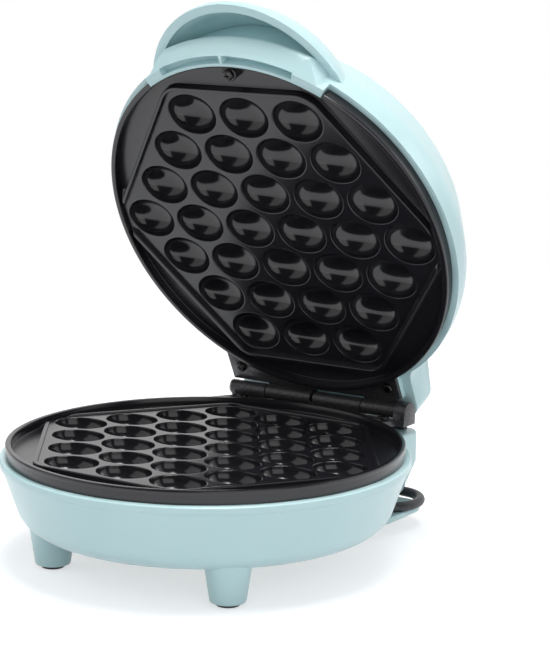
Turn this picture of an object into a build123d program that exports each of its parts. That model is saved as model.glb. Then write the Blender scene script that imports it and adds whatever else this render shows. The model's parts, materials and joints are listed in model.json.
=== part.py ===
from build123d import *
import os
from math import cos, hypot, pi, radians, sin, tan

# Electric bubble waffle maker.  Millimetres, +Z up, table at Z = 0.
# Every piece is modelled about the vertical axis of the round plates, with the lid closed.
# placed() then swings the lid pieces open about the hinge and sets the whole on its origin.

# --- driving dimensions ---------------------------------------------------------------
lid_open_angle = 63.7  # how far the stored lid stands open from closed
origin_behind_plate = 18.2  # the part's origin, behind the plates' axis

plate_radius = 100.0
plate_step = 0.6  # the lower half of the plate's edge steps in
plate_skirt_inset = 1.5  # the skirt locates the plate inside its shell's lip
rim_width = 2.8
plate_slab = 5.0
field_height = 58.9  # top of the lower plate's cell field
flange_depth = 4.3  # from the cell field down to the shell's lip
lower_rim_rise = 2.6
upper_rim_rise = 2.3
rim_clearance = 0.3
lower_ridge_rise = 0.9
upper_ridge_rise = 2.5
channel_depth = 2.2

cell_rows = (3, 4, 5, 6, 5, 4, 3)
cell_pitch_x = 31.9
cell_pitch_y = 22.45
cell_gap = 2.7  # between two cells of a row
cell_width = 23.4
cell_depth = 9.5
cell_wall = 2.4
cell_round = 0.45  # rounding of a cell's mouth
field_margin = 2.7  # from the outer cells to the ridge
ridge_width = 2.3
ridge_corner = 12.0

element_radius = 63.0
element_tube = 3.3
element_under_cells = 6.0  # element centre below the deepest point of a cell
element_gap_angle = 16.0
element_leg = 9.0

lug_radius = 4.6
lug_under_element = 2.5  # lug's end below the element's centre

wall = 2.6
base_lip_overhang = 3.0  # beyond the plate
base_lip_height = 3.8
base_bottom = 19.0
base_side_inset = 1.2  # under the lip
base_foot_inset = 11.9
base_corner = 15.0
box_half = 57.0
box_foot_half = 51.0  # the box narrows towards the table
box_waist = 17.0  # height over the base's bottom where it is full width
box_behind_hinge = 10.3
box_under_lip = 2.4
box_corner = 8.0
box_foot_corner = 12.0

foot_x = 53.1
foot_y = 56.3
foot_top_radius = 11.8
foot_bottom_radius = 8.8
rear_foot_x = 34.0  # the two rear feet stand under the cord tray
rear_foot_radius = 8.0
pad_radius = 5.8
pad_height = 1.8
slot_overhang = 0.6  # the vent slots bite into the tongue

hinge_behind_plate = 7.7
hinge_over_field = 3.8
pin_radius = 2.0
barrel_radius = 4.0
knuckle_gap = 0.7
running_clearance = 0.05
leaf_left = -57.0
leaf_right = 50.0

# the lid's heights are above its own rim
lid_rim_overhang = 2.8  # beyond the plate
lid_shoulder_inset = 0.8
lid_shoulder_rise = 11.6
lid_crown_inset = 21.8
lid_crown_rise = 46.2
lid_rise = 48.4
lid_box_half = 55.5
lid_box_behind_hinge = 9.3
lid_box_gap = 1.6
lid_box_rise = 16.2
lid_box_slope = 0.21
lid_box_blend = 16.0  # hollow curve from the round rim to the box
lid_box_blend_rise = 9.5

hood_radius = 60.0
hood_reach = 26.0  # how far the hood stands out in front of the plate
hood_gap = 5.1
hood_wall = 4.5
hood_ceiling_rise = 25.6
liner_half_angle = 31.5
liner_back_gap = 4.0  # from the plate's edge to the liner's back wall
liner_thick = 2.5
tongue_half_angle = 29.4
tongue_reach = 9.0

tray_half = 59.0
tray_before_hub = 37.0
tray_behind_hub = 16.0
tray_bottom = 8.2
tray_thick = 3.0
hub_left = -41.0
hub_right = 20.0
loop_reach = 41.0  # the outer turn hangs loose beyond the hub
hub_behind_hinge = 0.3
hub_radius = 9.0
cord_diameter = 5.3
turn_gap = 1.35  # slack between the hub and the inner turn

screw_core = 1.5
screw_head = 2.9
screw_head_height = 1.8

front_screw_inset = 6.5
bracket_screw_inset = 8.2  # in front of the hinge
leaf_screw_inset = 13.2
thermostat_inset = 10.0
fuse_inset = 10.5
lead_x = -38.0

# --- values worked out from them ------------------------------------------------------
cell_length = cell_pitch_x - cell_gap
element_drop = cell_depth + element_under_cells
lug_x = cell_pitch_x  # plate lugs stand between cells
lug_y = cell_pitch_y * 5 / 3
lug_drop = element_drop + lug_under_element

plate_flange_radius = plate_radius - plate_step
plate_skirt_radius = plate_radius - plate_skirt_inset
rim_inner_radius = plate_radius - rim_width
base_lip_radius = plate_radius + base_lip_overhang
base_side_radius = base_lip_radius - base_side_inset
base_foot_radius = base_lip_radius - base_foot_inset
lid_rim_radius = plate_radius + lid_rim_overhang
lid_shoulder_radius = lid_rim_radius - lid_shoulder_inset
lid_crown_radius = lid_rim_radius - lid_crown_inset

lip_top = field_height - flange_depth
box_top = lip_top - box_under_lip
hinge_y = plate_radius + hinge_behind_plate
hinge_z = field_height + hinge_over_field
box_back = hinge_y + box_behind_hinge
hub_y = hinge_y + hub_behind_hinge
upper_field = field_height + lower_rim_rise + rim_clearance + upper_rim_rise
lid_rim = upper_field + flange_depth
upper_rim_plane = upper_field - upper_rim_rise
lid_shoulder_height = lid_rim + lid_shoulder_rise
lid_crown_height = lid_rim + lid_crown_rise
lid_top = lid_rim + lid_rise
lid_box_back = hinge_y + lid_box_behind_hinge
lid_box_bottom = lid_rim + lid_box_gap
lid_box_top = lid_rim + lid_box_rise
hood_centre_y = hood_radius - plate_radius - hood_reach
hood_bottom = lid_rim + hood_gap
hood_ceiling = lid_rim + hood_ceiling_rise
liner_back = plate_radius + liner_back_gap
tongue_radius = plate_radius + tongue_reach

tray_top = tray_bottom + tray_thick
tray_front = hub_y - tray_before_hub
tray_back = hub_y + tray_behind_hub
cord_radius = cord_diameter / 2
turn_radius = hub_radius + turn_gap + cord_radius  # centre of the inner turn about the hub's end

rear_feet = [(-rear_foot_x, hub_y - 13), (rear_foot_x, hub_y - 13)]

front_screw_y = plate_radius - front_screw_inset
bracket_screws = [(-46.0, hinge_y - bracket_screw_inset), (44.0, hinge_y - bracket_screw_inset)]
lid_leaf_screws = [(-50.0, hinge_y - leaf_screw_inset), (44.0, hinge_y - leaf_screw_inset)]
tray_screw_places = [(-22.0, hub_y), (hub_right - 12, hub_y)]
thermostat_y = plate_radius - thermostat_inset
clip_screw_places = [(-14.0, thermostat_y), (14.0, thermostat_y)]
fuse_y = plate_radius - fuse_inset
lug_places = [(x, y) for x in (-lug_x, lug_x) for y in (-lug_y, lug_y)]
leg_feet = [(-foot_x, -foot_y), (foot_x, -foot_y)]

origin_place = Pos(0, -origin_behind_plate, 0)
hinge_place = Pos(0, hinge_y, hinge_z)
open_lid = origin_place * hinge_place * Rot(-lid_open_angle, 0, 0) * hinge_place.inverse()

os.makedirs("parts", exist_ok=True)


def placed(piece, name, on_lid=False):
    """Label a finished piece, set it in the part's frame and write it."""
    piece.part.label = name
    place = open_lid if on_lid else origin_place
    export_step(place * piece.part, f"parts/{name}.step")


def cell_centres():
    middle = (len(cell_rows) - 1) / 2
    return [
        ((k - (count - 1) / 2) * cell_pitch_x, (row - middle) * cell_pitch_y)
        for row, count in enumerate(cell_rows)
        for k in range(count)
    ]


def field_corners(outset):
    """Corners of the hexagon that stands `outset` outside the outer cells."""
    half_length, half_width = cell_length / 2, cell_width / 2
    side = hypot(cell_pitch_x / 2, cell_pitch_y)
    nx, ny = cell_pitch_y / side, cell_pitch_x / 2 / side
    corner_x = (cell_rows[0] - 1) / 2 * cell_pitch_x
    front_y = (len(cell_rows) - 1) / 2 * cell_pitch_y
    reach = hypot(half_length * nx, half_width * ny) + outset
    slant = corner_x * nx + front_y * ny + reach
    flat = front_y + half_width + outset
    x = (slant - flat * ny) / nx
    tip = slant / nx
    return [(-x, -flat), (x, -flat), (tip, 0), (x, flat), (-x, flat), (-tip, 0)]


def field_shape(outset, corner):
    """The hexagon as a face, its front and back corners rounded."""
    with BuildSketch() as shape:
        with BuildLine():
            Polyline(*field_corners(outset), close=True)
        make_face()
        fillet(shape.vertices().filter_by(lambda v: abs(v.Y) > 1), corner)
    return shape.sketch


def inset(points, depth):
    """An open outline moved `depth` to its left side, corner by corner."""
    lines = []
    for (x0, y0), (x1, y1) in zip(points, points[1:]):
        length = hypot(x1 - x0, y1 - y0)
        nx, ny = -(y1 - y0) / length, (x1 - x0) / length
        lines.append((x0 + nx * depth, y0 + ny * depth, x1 - x0, y1 - y0, nx, ny))
    moved = [lines[0][:2]]
    for a, b in zip(lines, lines[1:]):
        cross = a[2] * b[3] - a[3] * b[2]
        t = ((b[0] - a[0]) * b[3] - (b[1] - a[1]) * b[2]) / cross
        moved.append((a[0] + a[2] * t, a[1] + a[3] * t))
    last = lines[-1]
    moved.append((last[0] + last[2], last[1] + last[3]))
    return moved


def sector(inner, outer, half_angle, low, high, centre_angle=-90):
    """A block between two radii, spread each side of one direction about the axis."""
    start = centre_angle - half_angle
    with BuildPart() as block:
        with BuildSketch(Plane.XY.offset(low)):
            with BuildLine():
                outside = CenterArc((0, 0), outer, start, 2 * half_angle)
                inside = CenterArc((0, 0), inner, start, 2 * half_angle)
                Line(outside @ 0, inside @ 0)
                Line(outside @ 1, inside @ 1)
            make_face()
        extrude(amount=high - low)
    return block.part


def screw(length):
    """A pan head screw along -Z, the underside of its head at Z = 0."""
    with BuildPart() as fastener:
        with BuildSketch(Plane.XY):
            Circle(screw_head)
        extrude(amount=screw_head_height)
        fillet(fastener.faces().sort_by(Axis.Z)[-1].edges(), screw_head_height * 0.55)
        with BuildSketch(Plane.XY):
            Circle(screw_core - running_clearance)
        extrude(amount=-length)
        slot = screw_head * 0.55
        with BuildSketch(Plane.XY.offset(screw_head_height)):
            Rectangle(2 * slot, 0.9)
            Rectangle(0.9, 2 * slot)
        extrude(amount=-0.9, mode=Mode.SUBTRACT)
    return fastener.part


# --- cell form: the hollow and the bump under it ----------------------------------------
def cell_form(half_length, half_width, depth, flare):
    """Half an ellipsoid below Z = 0, with its mouth flared by `flare`."""
    with BuildPart() as form:
        with BuildSketch(Plane.XZ):
            with BuildLine():
                bowl = EllipticalCenterArc(
                    (0, 0), half_length - flare, depth, start_angle=270, arc_size=86
                )
                mouth = bowl @ 1
                lip = ThreePointArc(
                    mouth, (mouth.X + 0.35 * flare, mouth.Y * 0.4), (mouth.X + 2 * flare, 0.02)
                )
                Polyline(lip @ 1, ((lip @ 1).X, 1), (0, 1), (0, -depth))
            make_face()
        revolve(axis=Axis.Z)
    return scale(form.part, by=(1, half_width / half_length, 1))


cell_hollow = cell_form(cell_length / 2, cell_width / 2, cell_depth, cell_round)

with BuildPart() as cell_bump:
    Sphere(1)
    with BuildSketch(Plane.XY):
        Rectangle(4, 4)
    extrude(amount=4, mode=Mode.SUBTRACT)
bump_form = scale(
    cell_bump.part,
    by=(cell_length / 2 + cell_wall, cell_width / 2 + cell_wall, cell_depth + cell_wall),
)


# --- the two cooking plates --------------------------------------------------------------
def cooking_plate(rim_rise, ridge_rise):
    """One plate with its cell field at Z = 0, facing up."""
    with BuildPart() as plate:
        with BuildSketch(Plane.XZ):
            with BuildLine():
                Polyline(
                    (0, -plate_slab),
                    (plate_skirt_radius, -plate_slab),
                    (plate_skirt_radius, -flange_depth),
                    (plate_flange_radius, -flange_depth),
                    (plate_flange_radius, 0.5),
                    (plate_radius, 0.5),
                    (plate_radius, rim_rise - 0.6),
                    (plate_radius - 0.6, rim_rise),
                    (rim_inner_radius + 0.5, rim_rise),
                    (rim_inner_radius, rim_rise - 0.5),
                    (rim_inner_radius - 0.2, 0),
                    (0, 0),
                    (0, -plate_slab),
                )
            make_face()
        revolve(axis=Axis.Z)
        with BuildSketch(Plane.XY.offset(-channel_depth)):
            Circle(rim_inner_radius - 0.3)
            add(field_shape(field_margin + ridge_width, ridge_corner + ridge_width), mode=Mode.SUBTRACT)
        extrude(amount=channel_depth + 1, mode=Mode.SUBTRACT)
        with BuildSketch(Plane.XY):
            add(field_shape(field_margin + ridge_width, ridge_corner + ridge_width))
            add(field_shape(field_margin, ridge_corner), mode=Mode.SUBTRACT)
            Circle(rim_inner_radius - 2.2, mode=Mode.INTERSECT)
        extrude(amount=ridge_rise)
        with Locations(*[Pos(x, y, 0) for x, y in cell_centres()]):
            add(bump_form)
        with BuildSketch(Plane.XZ):
            with Locations((element_radius, -(plate_slab + element_drop) / 2)):
                Rectangle(2 * element_tube + 2.4, element_drop - plate_slab)
        revolve(axis=Axis.Z)
        with BuildSketch(Plane.XY.offset(-plate_slab)):
            with Locations(*lug_places):
                Circle(lug_radius)
        extrude(amount=-(lug_drop - plate_slab))
        with Locations(*[Pos(x, y, 0) for x, y in cell_centres()]):
            add(cell_hollow, mode=Mode.SUBTRACT)
        with BuildSketch(Plane.XZ):
            with Locations((element_radius, -element_drop)):
                Circle(element_tube + 0.1)
        revolve(axis=Axis.Z, mode=Mode.SUBTRACT)
        with BuildSketch(Plane.XY.offset(-lug_drop)):
            with Locations(*lug_places):
                Circle(screw_core)
        extrude(amount=9, mode=Mode.SUBTRACT)
    return plate.part


lower_form = cooking_plate(lower_rim_rise, lower_ridge_rise)
upper_form = cooking_plate(upper_rim_rise, upper_ridge_rise)

with BuildPart() as lower_plate:
    add(Pos(0, 0, field_height) * lower_form)
    # lugs of the thermostat clip, under the back channel
    with BuildSketch(Plane.XY.offset(field_height - plate_slab - 8)):
        with Locations(*clip_screw_places):
            Circle(3.6)
            Circle(screw_core, mode=Mode.SUBTRACT)
    extrude(amount=8)

tab_low = lid_rim - 1.6
with BuildPart() as upper_plate:
    add(Pos(0, 0, upper_field) * Rot(180, 0, 0) * upper_form)
    # the rim gives way to the handle liner at the front
    add(
        sector(rim_inner_radius + 0.3, plate_radius + 1, liner_half_angle + 0.4, upper_rim_plane - 1, lid_rim),
        mode=Mode.SUBTRACT,
    )
    # a tab at the back is trapped above the hinge leaf
    with BuildSketch(Plane.XY.offset(tab_low)):
        with Locations((0, plate_flange_radius + 1)):
            Rectangle(36, 7)
    extrude(amount=lid_rim - 0.1 - tab_low)
    # boss and hole of the front screw
    with BuildSketch(Plane.XY.offset(upper_rim_plane)):
        with Locations((0, -front_screw_y)):
            Circle(4)
    extrude(amount=upper_field + 2 - upper_rim_plane)
    with BuildSketch(Plane.XY.offset(upper_rim_plane)):
        with Locations((0, -front_screw_y)):
            Circle(screw_core + 0.2)
    extrude(amount=20, mode=Mode.SUBTRACT)
placed(lower_plate, "lower_plate")
placed(upper_plate, "upper_plate", on_lid=True)


# --- heating elements: a sheathed ring with two legs at the back ---------------------------
def heating_element():
    """One element about Z = 0, its legs pointing down."""
    half_gap = element_gap_angle / 2
    with BuildPart() as element:
        with BuildSketch(Plane.XZ.rotated((0, 0, 90 + half_gap))):
            with Locations((element_radius, 0)):
                Circle(element_tube)
        revolve(axis=Axis.Z, revolution_arc=360 - element_gap_angle)
        ends = [
            (element_radius * cos(radians(a)), element_radius * sin(radians(a)))
            for a in (90 - half_gap, 90 + half_gap)
        ]
        with Locations(*[Pos(x, y, 0) for x, y in ends]):
            Sphere(element_tube)
        with BuildSketch(Plane.XY):
            with Locations(*ends):
                Circle(element_tube)
        extrude(amount=-element_leg)
        with BuildSketch(Plane.XY.offset(-element_leg)):
            with Locations(*ends):
                Circle(1.2)
        extrude(amount=-4)
    return element.part


element_form = heating_element()
lower_element_z = field_height - element_drop
upper_element_z = upper_field + element_drop
with BuildPart() as lower_heating_element:
    add(Pos(0, 0, lower_element_z) * element_form)
with BuildPart() as upper_heating_element:
    add(Pos(0, 0, upper_element_z) * Rot(0, 180, 0) * element_form)
placed(lower_heating_element, "lower_heating_element")
placed(upper_heating_element, "upper_heating_element", on_lid=True)


# --- base shell ---------------------------------------------------------------------------
box_root = 60.0  # the box starts inside the round body


def hinge_box(depth):
    """The box behind the base that carries the hinge, or the hollow `depth` inside it."""
    waist = base_bottom + box_waist
    back = box_back - depth
    with BuildPart() as block:
        for level, half, corner in (
            (base_bottom + depth, box_foot_half - depth, box_foot_corner - depth),
            (waist, box_half - depth, box_corner - depth),
        ):
            with BuildSketch(Plane.XY.offset(level)):
                with Locations((0, (box_root + back) / 2)):
                    RectangleRounded(2 * half, back - box_root, corner)
        loft()
        extrude(block.faces().sort_by(Axis.Z)[-1], amount=box_top - depth - waist)
        if not depth:
            fillet(block.faces().sort_by(Axis.Z)[-1].edges(), 1.5)
    return block.part


pad_peg = 2.5  # a peg holds each rubber pad
floor_top = base_bottom + wall
step_height = lip_top - base_lip_height
side_line = [
    (0, base_bottom),
    (base_foot_radius, base_bottom),
    (base_side_radius, step_height - 0.6),
    (base_side_radius, lip_top + 5),
]
post_top = field_height - lug_drop
shoulder_post = post_top - 6.9  # the reflector rests on the posts' shoulders
with BuildPart() as base_shell:
    with BuildSketch(Plane.XZ):
        with BuildLine():
            outer = FilletPolyline(side_line[:3], radius=[base_corner])
            Polyline(
                outer @ 1,
                (base_lip_radius - 0.3, step_height),
                (base_lip_radius, step_height + 0.8),
                (base_lip_radius, lip_top - 0.6),
                (base_lip_radius - 0.6, lip_top),
                (0, lip_top),
                (0, base_bottom),
            )
        make_face()
    revolve(axis=Axis.Z)
    add(hinge_box(0))
    with BuildSketch(Plane.XZ):
        with BuildLine():
            inner = FilletPolyline(inset(side_line[:3], wall), radius=[base_corner - wall])
            Polyline(
                inner @ 1,
                (base_side_radius - wall, lip_top - 3),
                (plate_skirt_radius + 0.2, lip_top - 2),
                (plate_skirt_radius + 0.2, lip_top + 1),
                (0, lip_top + 1),
                (0, floor_top),
            )
        make_face()
    revolve(axis=Axis.Z, mode=Mode.SUBTRACT)
    add(hinge_box(wall), mode=Mode.SUBTRACT)
    # plate posts with a shoulder for the reflector
    with BuildSketch(Plane.XY.offset(floor_top - 1)):
        with Locations(*lug_places):
            Circle(6)
    extrude(amount=shoulder_post - floor_top + 1)
    with BuildSketch(Plane.XY.offset(shoulder_post)):
        with Locations(*lug_places):
            Circle(4)
    extrude(amount=post_top - shoulder_post)
    with BuildSketch(Plane.XY.offset(base_bottom)):
        with Locations(*lug_places):
            Circle(screw_head + 0.4)
    extrude(amount=9, mode=Mode.SUBTRACT)
    with BuildSketch(Plane.XY.offset(base_bottom)):
        with Locations(*lug_places):
            Circle(screw_core + 0.2)
    extrude(amount=post_top - base_bottom, mode=Mode.SUBTRACT)
    # legs
    with Locations(*[Pos(x, y, pad_height) for x, y in leg_feet]):
        Cone(
            foot_bottom_radius,
            foot_top_radius,
            floor_top - pad_height,
            align=(Align.CENTER, Align.CENTER, Align.MIN),
        )
    fillet(base_shell.edges().filter_by(lambda e: e.center().Z < pad_height + 0.1), 1.0)
    with BuildSketch(Plane.XY.offset(pad_height)):
        with Locations(*leg_feet):
            Circle(pad_peg + 0.1)
    extrude(amount=8, mode=Mode.SUBTRACT)
    # screw posts of the hinge bracket, inside the box
    with BuildSketch(Plane.XY.offset(box_top - wall - 10)):
        with Locations(*bracket_screws):
            Circle(4)
    extrude(amount=10.5)
    with BuildSketch(Plane.XY.offset(box_top - 11)):
        with Locations(*bracket_screws):
            Circle(screw_core)
    extrude(amount=12, mode=Mode.SUBTRACT)
    # screw posts of the cord tray, and the way in for the supply lead
    with BuildSketch(Plane.XY.offset(floor_top - 1)):
        with Locations(*tray_screw_places):
            Circle(4)
    extrude(amount=9)
    with BuildSketch(Plane.XY.offset(base_bottom)):
        with Locations(*tray_screw_places):
            Circle(screw_core)
        with Locations((lead_x, hub_y)):
            Circle(4)
    extrude(amount=9, mode=Mode.SUBTRACT)
placed(base_shell, "base_shell")


# --- rubber pads of the legs -----------------------------------------------------------------
with BuildPart() as rubber_feet:
    with BuildSketch(Plane.XY):
        with Locations(*leg_feet, *rear_feet):
            Circle(pad_radius)
    extrude(amount=pad_height)
    fillet(rubber_feet.edges().filter_by(lambda e: e.center().Z < 0.1), 0.5)
    for places, length in ((leg_feet, 7), (rear_feet, 4)):
        with BuildSketch(Plane.XY.offset(pad_height)):
            with Locations(*places):
                Circle(pad_peg)
        extrude(amount=length)
placed(rubber_feet, "rubber_feet")


# --- reflector sheets under the elements --------------------------------------------------------
sheet_thick = 0.8
leg_places = [
    (element_radius * cos(radians(a)), element_radius * sin(radians(a)))
    for a in (90 - element_gap_angle / 2, 90 + element_gap_angle / 2)
]


def reflector(low, radius):
    with BuildPart() as sheet:
        with BuildSketch(Plane.XY.offset(low)):
            Circle(radius)
            with Locations(*lug_places):
                Circle(4.2, mode=Mode.SUBTRACT)
            with Locations(*leg_places):
                Circle(element_tube + 1, mode=Mode.SUBTRACT)
        extrude(amount=sheet_thick)
    return sheet


upper_post_shoulder = upper_field + lug_drop + 6
lower_reflector = reflector(shoulder_post, 78)
upper_reflector = reflector(upper_post_shoulder - sheet_thick, 74)
placed(lower_reflector, "lower_reflector")
placed(upper_reflector, "upper_reflector", on_lid=True)


# --- fixings from below the base ------------------------------------------------------------------
def screw_set(form, places, height, turn=0):
    """The same screw at several places, its head's seat at one height."""
    with BuildPart() as group:
        with Locations(*[Pos(x, y, height) for x, y in places]):
            add(form, rotation=(turn, 0, 0))
    return group


plate_screw_seat = base_bottom + 9
lower_plate_screws = screw_set(screw(20), lug_places, plate_screw_seat, turn=180)
placed(lower_plate_screws, "lower_plate_screws")
tray_screw_seat = tray_bottom + 5
tray_screws = screw_set(screw(12), tray_screw_places, tray_screw_seat, turn=180)
placed(tray_screws, "tray_screws")


# --- cord tray with its hub ------------------------------------------------------------------------
hub_middle, hub_length = (hub_left + hub_right) / 2, hub_right - hub_left
gland_width = 10.0
gland_low = tray_top + 0.05
gland_high = base_bottom - 0.2
with BuildPart() as cord_wrap_tray:
    with BuildSketch(Plane.XY.offset(tray_bottom)):
        with Locations((0, (tray_front + tray_back) / 2)):
            RectangleRounded(2 * tray_half, tray_back - tray_front, 14)
    extrude(amount=tray_thick)
    fillet(cord_wrap_tray.faces().sort_by(Axis.Z)[-1].edges(), 1.0)
    fillet(cord_wrap_tray.faces().sort_by(Axis.Z)[0].edges(), 1.0)
    with BuildSketch(Plane.XY.offset(pad_height)):
        with Locations(*rear_feet):
            Circle(rear_foot_radius)
    extrude(amount=tray_bottom + 1 - pad_height)
    with BuildSketch(Plane.XY.offset(pad_height)):
        with Locations(*rear_feet):
            Circle(pad_peg + 0.1)
    extrude(amount=4.1, mode=Mode.SUBTRACT)
    with BuildSketch(Plane.XY.offset(tray_top - 0.5)):
        with Locations((hub_middle, hub_y)):
            SlotCenterToCenter(hub_length, 2 * hub_radius)
            SlotCenterToCenter(hub_length, 2 * hub_radius - 4, mode=Mode.SUBTRACT)
        with Locations(*tray_screw_places):
            Circle(4.6)
    extrude(amount=base_bottom - tray_top + 0.5)
    with BuildSketch(Plane.XY.offset(tray_bottom)):
        with Locations(*tray_screw_places):
            Circle(screw_head + 0.4)
    extrude(amount=5, mode=Mode.SUBTRACT)
    with BuildSketch(Plane.XY.offset(tray_bottom)):
        with Locations(*tray_screw_places):
            Circle(screw_core + 0.2)
    extrude(amount=20, mode=Mode.SUBTRACT)
    with BuildSketch(Plane.XY.offset(tray_top)):
        with Locations((lead_x, hub_y - hub_radius)):
            Rectangle(gland_width + 0.1, 6)
    extrude(amount=10, mode=Mode.SUBTRACT)
placed(cord_wrap_tray, "cord_wrap_tray")


# --- cord gland, supply lead and terminals -------------------------------------------------------------
def rod_path(points, radius):
    """A wire of straight runs with round corners of its own radius."""
    with BuildPart() as wire:
        for start, end in zip(points, points[1:]):
            a, b = Vector(*start), Vector(*end)
            with BuildSketch(Plane(origin=a, z_dir=b - a)):
                Circle(radius)
            extrude(amount=(b - a).length)
        with Locations(*[Pos(*p) for p in points[1:-1]]):
            Sphere(radius)
    return wire.part


lane_y = hub_y - turn_radius
exit_z = gland_low + 3.75
boot_start = lead_x + gland_width / 2
boot_length = 22.0
boot_end = boot_start + boot_length
with BuildPart() as cord_gland:
    with BuildSketch(Plane.XY.offset(gland_low)):
        with Locations((lead_x, (lane_y - 3.7 + hub_y - hub_radius + 2) / 2)):
            Rectangle(gland_width, hub_y - hub_radius + 2 - lane_y + 3.7)
    extrude(amount=gland_high - gland_low)
    fillet(cord_gland.edges().filter_by(Axis.Z).group_by(Axis.Y)[0], 2)
    with BuildSketch(Plane(origin=(boot_start - 1, lane_y, exit_z), z_dir=(1, 0, 0))):
        Circle(3.6)
    with BuildSketch(Plane(origin=(boot_end, lane_y, exit_z), z_dir=(1, 0, 0))):
        Circle(cord_radius + 0.25)
    loft()
placed(cord_gland, "cord_gland")

lead_level = floor_top + 5
block_back = hub_y - 16
with BuildPart() as supply_lead:
    add(
        rod_path(
            [
                (lead_x, hub_y - hub_radius + 2, exit_z),
                (lead_x, hub_y, exit_z),
                (lead_x, hub_y, lead_level),
                (lead_x, block_back, lead_level),
            ],
            2.4,
        )
    )
placed(supply_lead, "supply_lead")

clamp_y = hub_y - 9
with BuildPart() as cord_clamp:
    with BuildSketch(Plane.XY.offset(floor_top)):
        with Locations((lead_x, clamp_y)):
            Rectangle(14, 6)
    extrude(amount=9)
    fillet(cord_clamp.edges().filter_by(Axis.Y).group_by(Axis.Z)[-1], 3)
    with BuildSketch(Plane(origin=(lead_x, clamp_y - 9, lead_level), z_dir=(0, 1, 0))):
        Circle(2.45)
    extrude(amount=20, mode=Mode.SUBTRACT)
placed(cord_clamp, "cord_clamp")

block_front = block_back - 20
block_middle = (block_front + block_back) / 2
block_top = floor_top + 10
with BuildPart() as terminal_block:
    with BuildSketch(Plane.XY.offset(floor_top)):
        with Locations((lead_x, block_middle)):
            Rectangle(16, block_back - block_front)
    extrude(amount=block_top - floor_top)
    with BuildSketch(Plane.XY.offset(block_top)):
        with Locations((lead_x, block_middle)):
            with GridLocations(8, 12, 2, 2):
                Circle(2.2)
    extrude(amount=-4, mode=Mode.SUBTRACT)
placed(terminal_block, "terminal_block")

with BuildPart() as terminal_screws:
    with BuildSketch(Plane.XY.offset(block_top - 4)):
        with Locations((lead_x, block_middle)):
            with GridLocations(8, 12, 2, 2):
                Circle(2.1)
    extrude(amount=2.6)
    with BuildSketch(Plane.XY.offset(block_top - 1.4)):
        with Locations((lead_x, block_middle)):
            with GridLocations(8, 12, 2, 2):
                Rectangle(5, 0.7)
    extrude(amount=-0.8, mode=Mode.SUBTRACT)
placed(terminal_screws, "terminal_screws")

# thermostat under the lower plate's back channel, held by a clip on two lugs
slab_under = field_height - plate_slab
thermostat_low = slab_under - 8
with BuildPart() as thermostat:
    with BuildSketch(Plane.XY.offset(thermostat_low)):
        with Locations((0, thermostat_y)):
            Circle(6.2)
    extrude(amount=8)
    with BuildSketch(Plane.XY.offset(thermostat_low + 2)):
        with Locations((0, thermostat_y)):
            Circle(7.4)
    extrude(amount=2)
placed(thermostat, "thermostat")
with BuildPart() as thermostat_clip:
    with BuildSketch(Plane.XY.offset(thermostat_low - 1)):
        with Locations((0, thermostat_y)):
            SlotCenterToCenter(28, 9)
            with Locations((-14, 0), (14, 0)):
                Circle(screw_core + 0.2, mode=Mode.SUBTRACT)
            with Locations((-4, 0), (4, 0)):
                Circle(1.6, mode=Mode.SUBTRACT)
    extrude(amount=1)
placed(thermostat_clip, "thermostat_clip")
thermostat_screws = screw_set(screw(7), clip_screw_places, thermostat_low - 1, turn=180)
placed(thermostat_screws, "thermostat_screws")

pin_low = lower_element_z - element_leg - 4
wire_radius = 1.2
right_leg, left_leg = leg_places
with BuildPart() as base_wires:
    add(
        rod_path(
            [
                (left_leg[0], left_leg[1], pin_low),
                (left_leg[0], left_leg[1], pin_low - 4),
                (lead_x + 5, block_front - 6, pin_low - 4),
                (lead_x + 5, block_front, pin_low - 4),
            ],
            wire_radius,
        )
    )
    add(
        rod_path(
            [
                (right_leg[0], right_leg[1], pin_low),
                (right_leg[0], right_leg[1], pin_low - 4),
                (12, thermostat_y - 8, pin_low - 3),
                (4, thermostat_y, thermostat_low - 7),
                (4, thermostat_y, thermostat_low),
            ],
            wire_radius,
        )
    )
    add(
        rod_path(
            [
                (-4, thermostat_y, thermostat_low),
                (-4, thermostat_y, thermostat_low - 6),
                (lead_x, block_middle, block_top + 5),
                (lead_x, block_middle, block_top),
            ],
            wire_radius,
        )
    )
placed(base_wires, "base_wires")


# --- hinge ------------------------------------------------------------------------------------------
base_knuckles = [(-57.0, -35.0), (-3.6, 26.2)]
lid_knuckles = [(-34.3, -5.6), (26.9, 47.6)]
cheek_left, cheek_right = 48.3, 55.2
cheek_low = box_top + 3.6  # the cheek hangs clear of the base
pin_end = cheek_right - 1  # the pin's hole is blind in the cheek
leaf_thick = 2.0
leaf_low = hinge_z + barrel_radius - leaf_thick
base_leaf_front = plate_radius - 14
base_leaf_back = hinge_y + 6.3
base_leaf_high = hinge_z - 1.9
base_leaf_slope = 0.131
plate_clearance = 0.7


def barrel(left, right, bore):
    """One knuckle, a tube about the pin."""
    with BuildPart() as tube:
        with BuildSketch(Plane(origin=(left, hinge_y, hinge_z), z_dir=(1, 0, 0))):
            Circle(barrel_radius)
            Circle(bore, mode=Mode.SUBTRACT)
        extrude(amount=right - left)
    return tube.part


def across(left, right, outline):
    """A side outline in Y and Z, drawn out along X."""
    with BuildPart() as block:
        with BuildSketch(Plane(origin=(left, 0, 0), x_dir=(0, 1, 0), z_dir=(1, 0, 0))):
            with BuildLine():
                Polyline(*outline, close=True)
            make_face()
        extrude(amount=right - left)
    return block.part


def base_leaf_top(y):
    return base_leaf_high - (y - base_leaf_front) * base_leaf_slope


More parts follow.
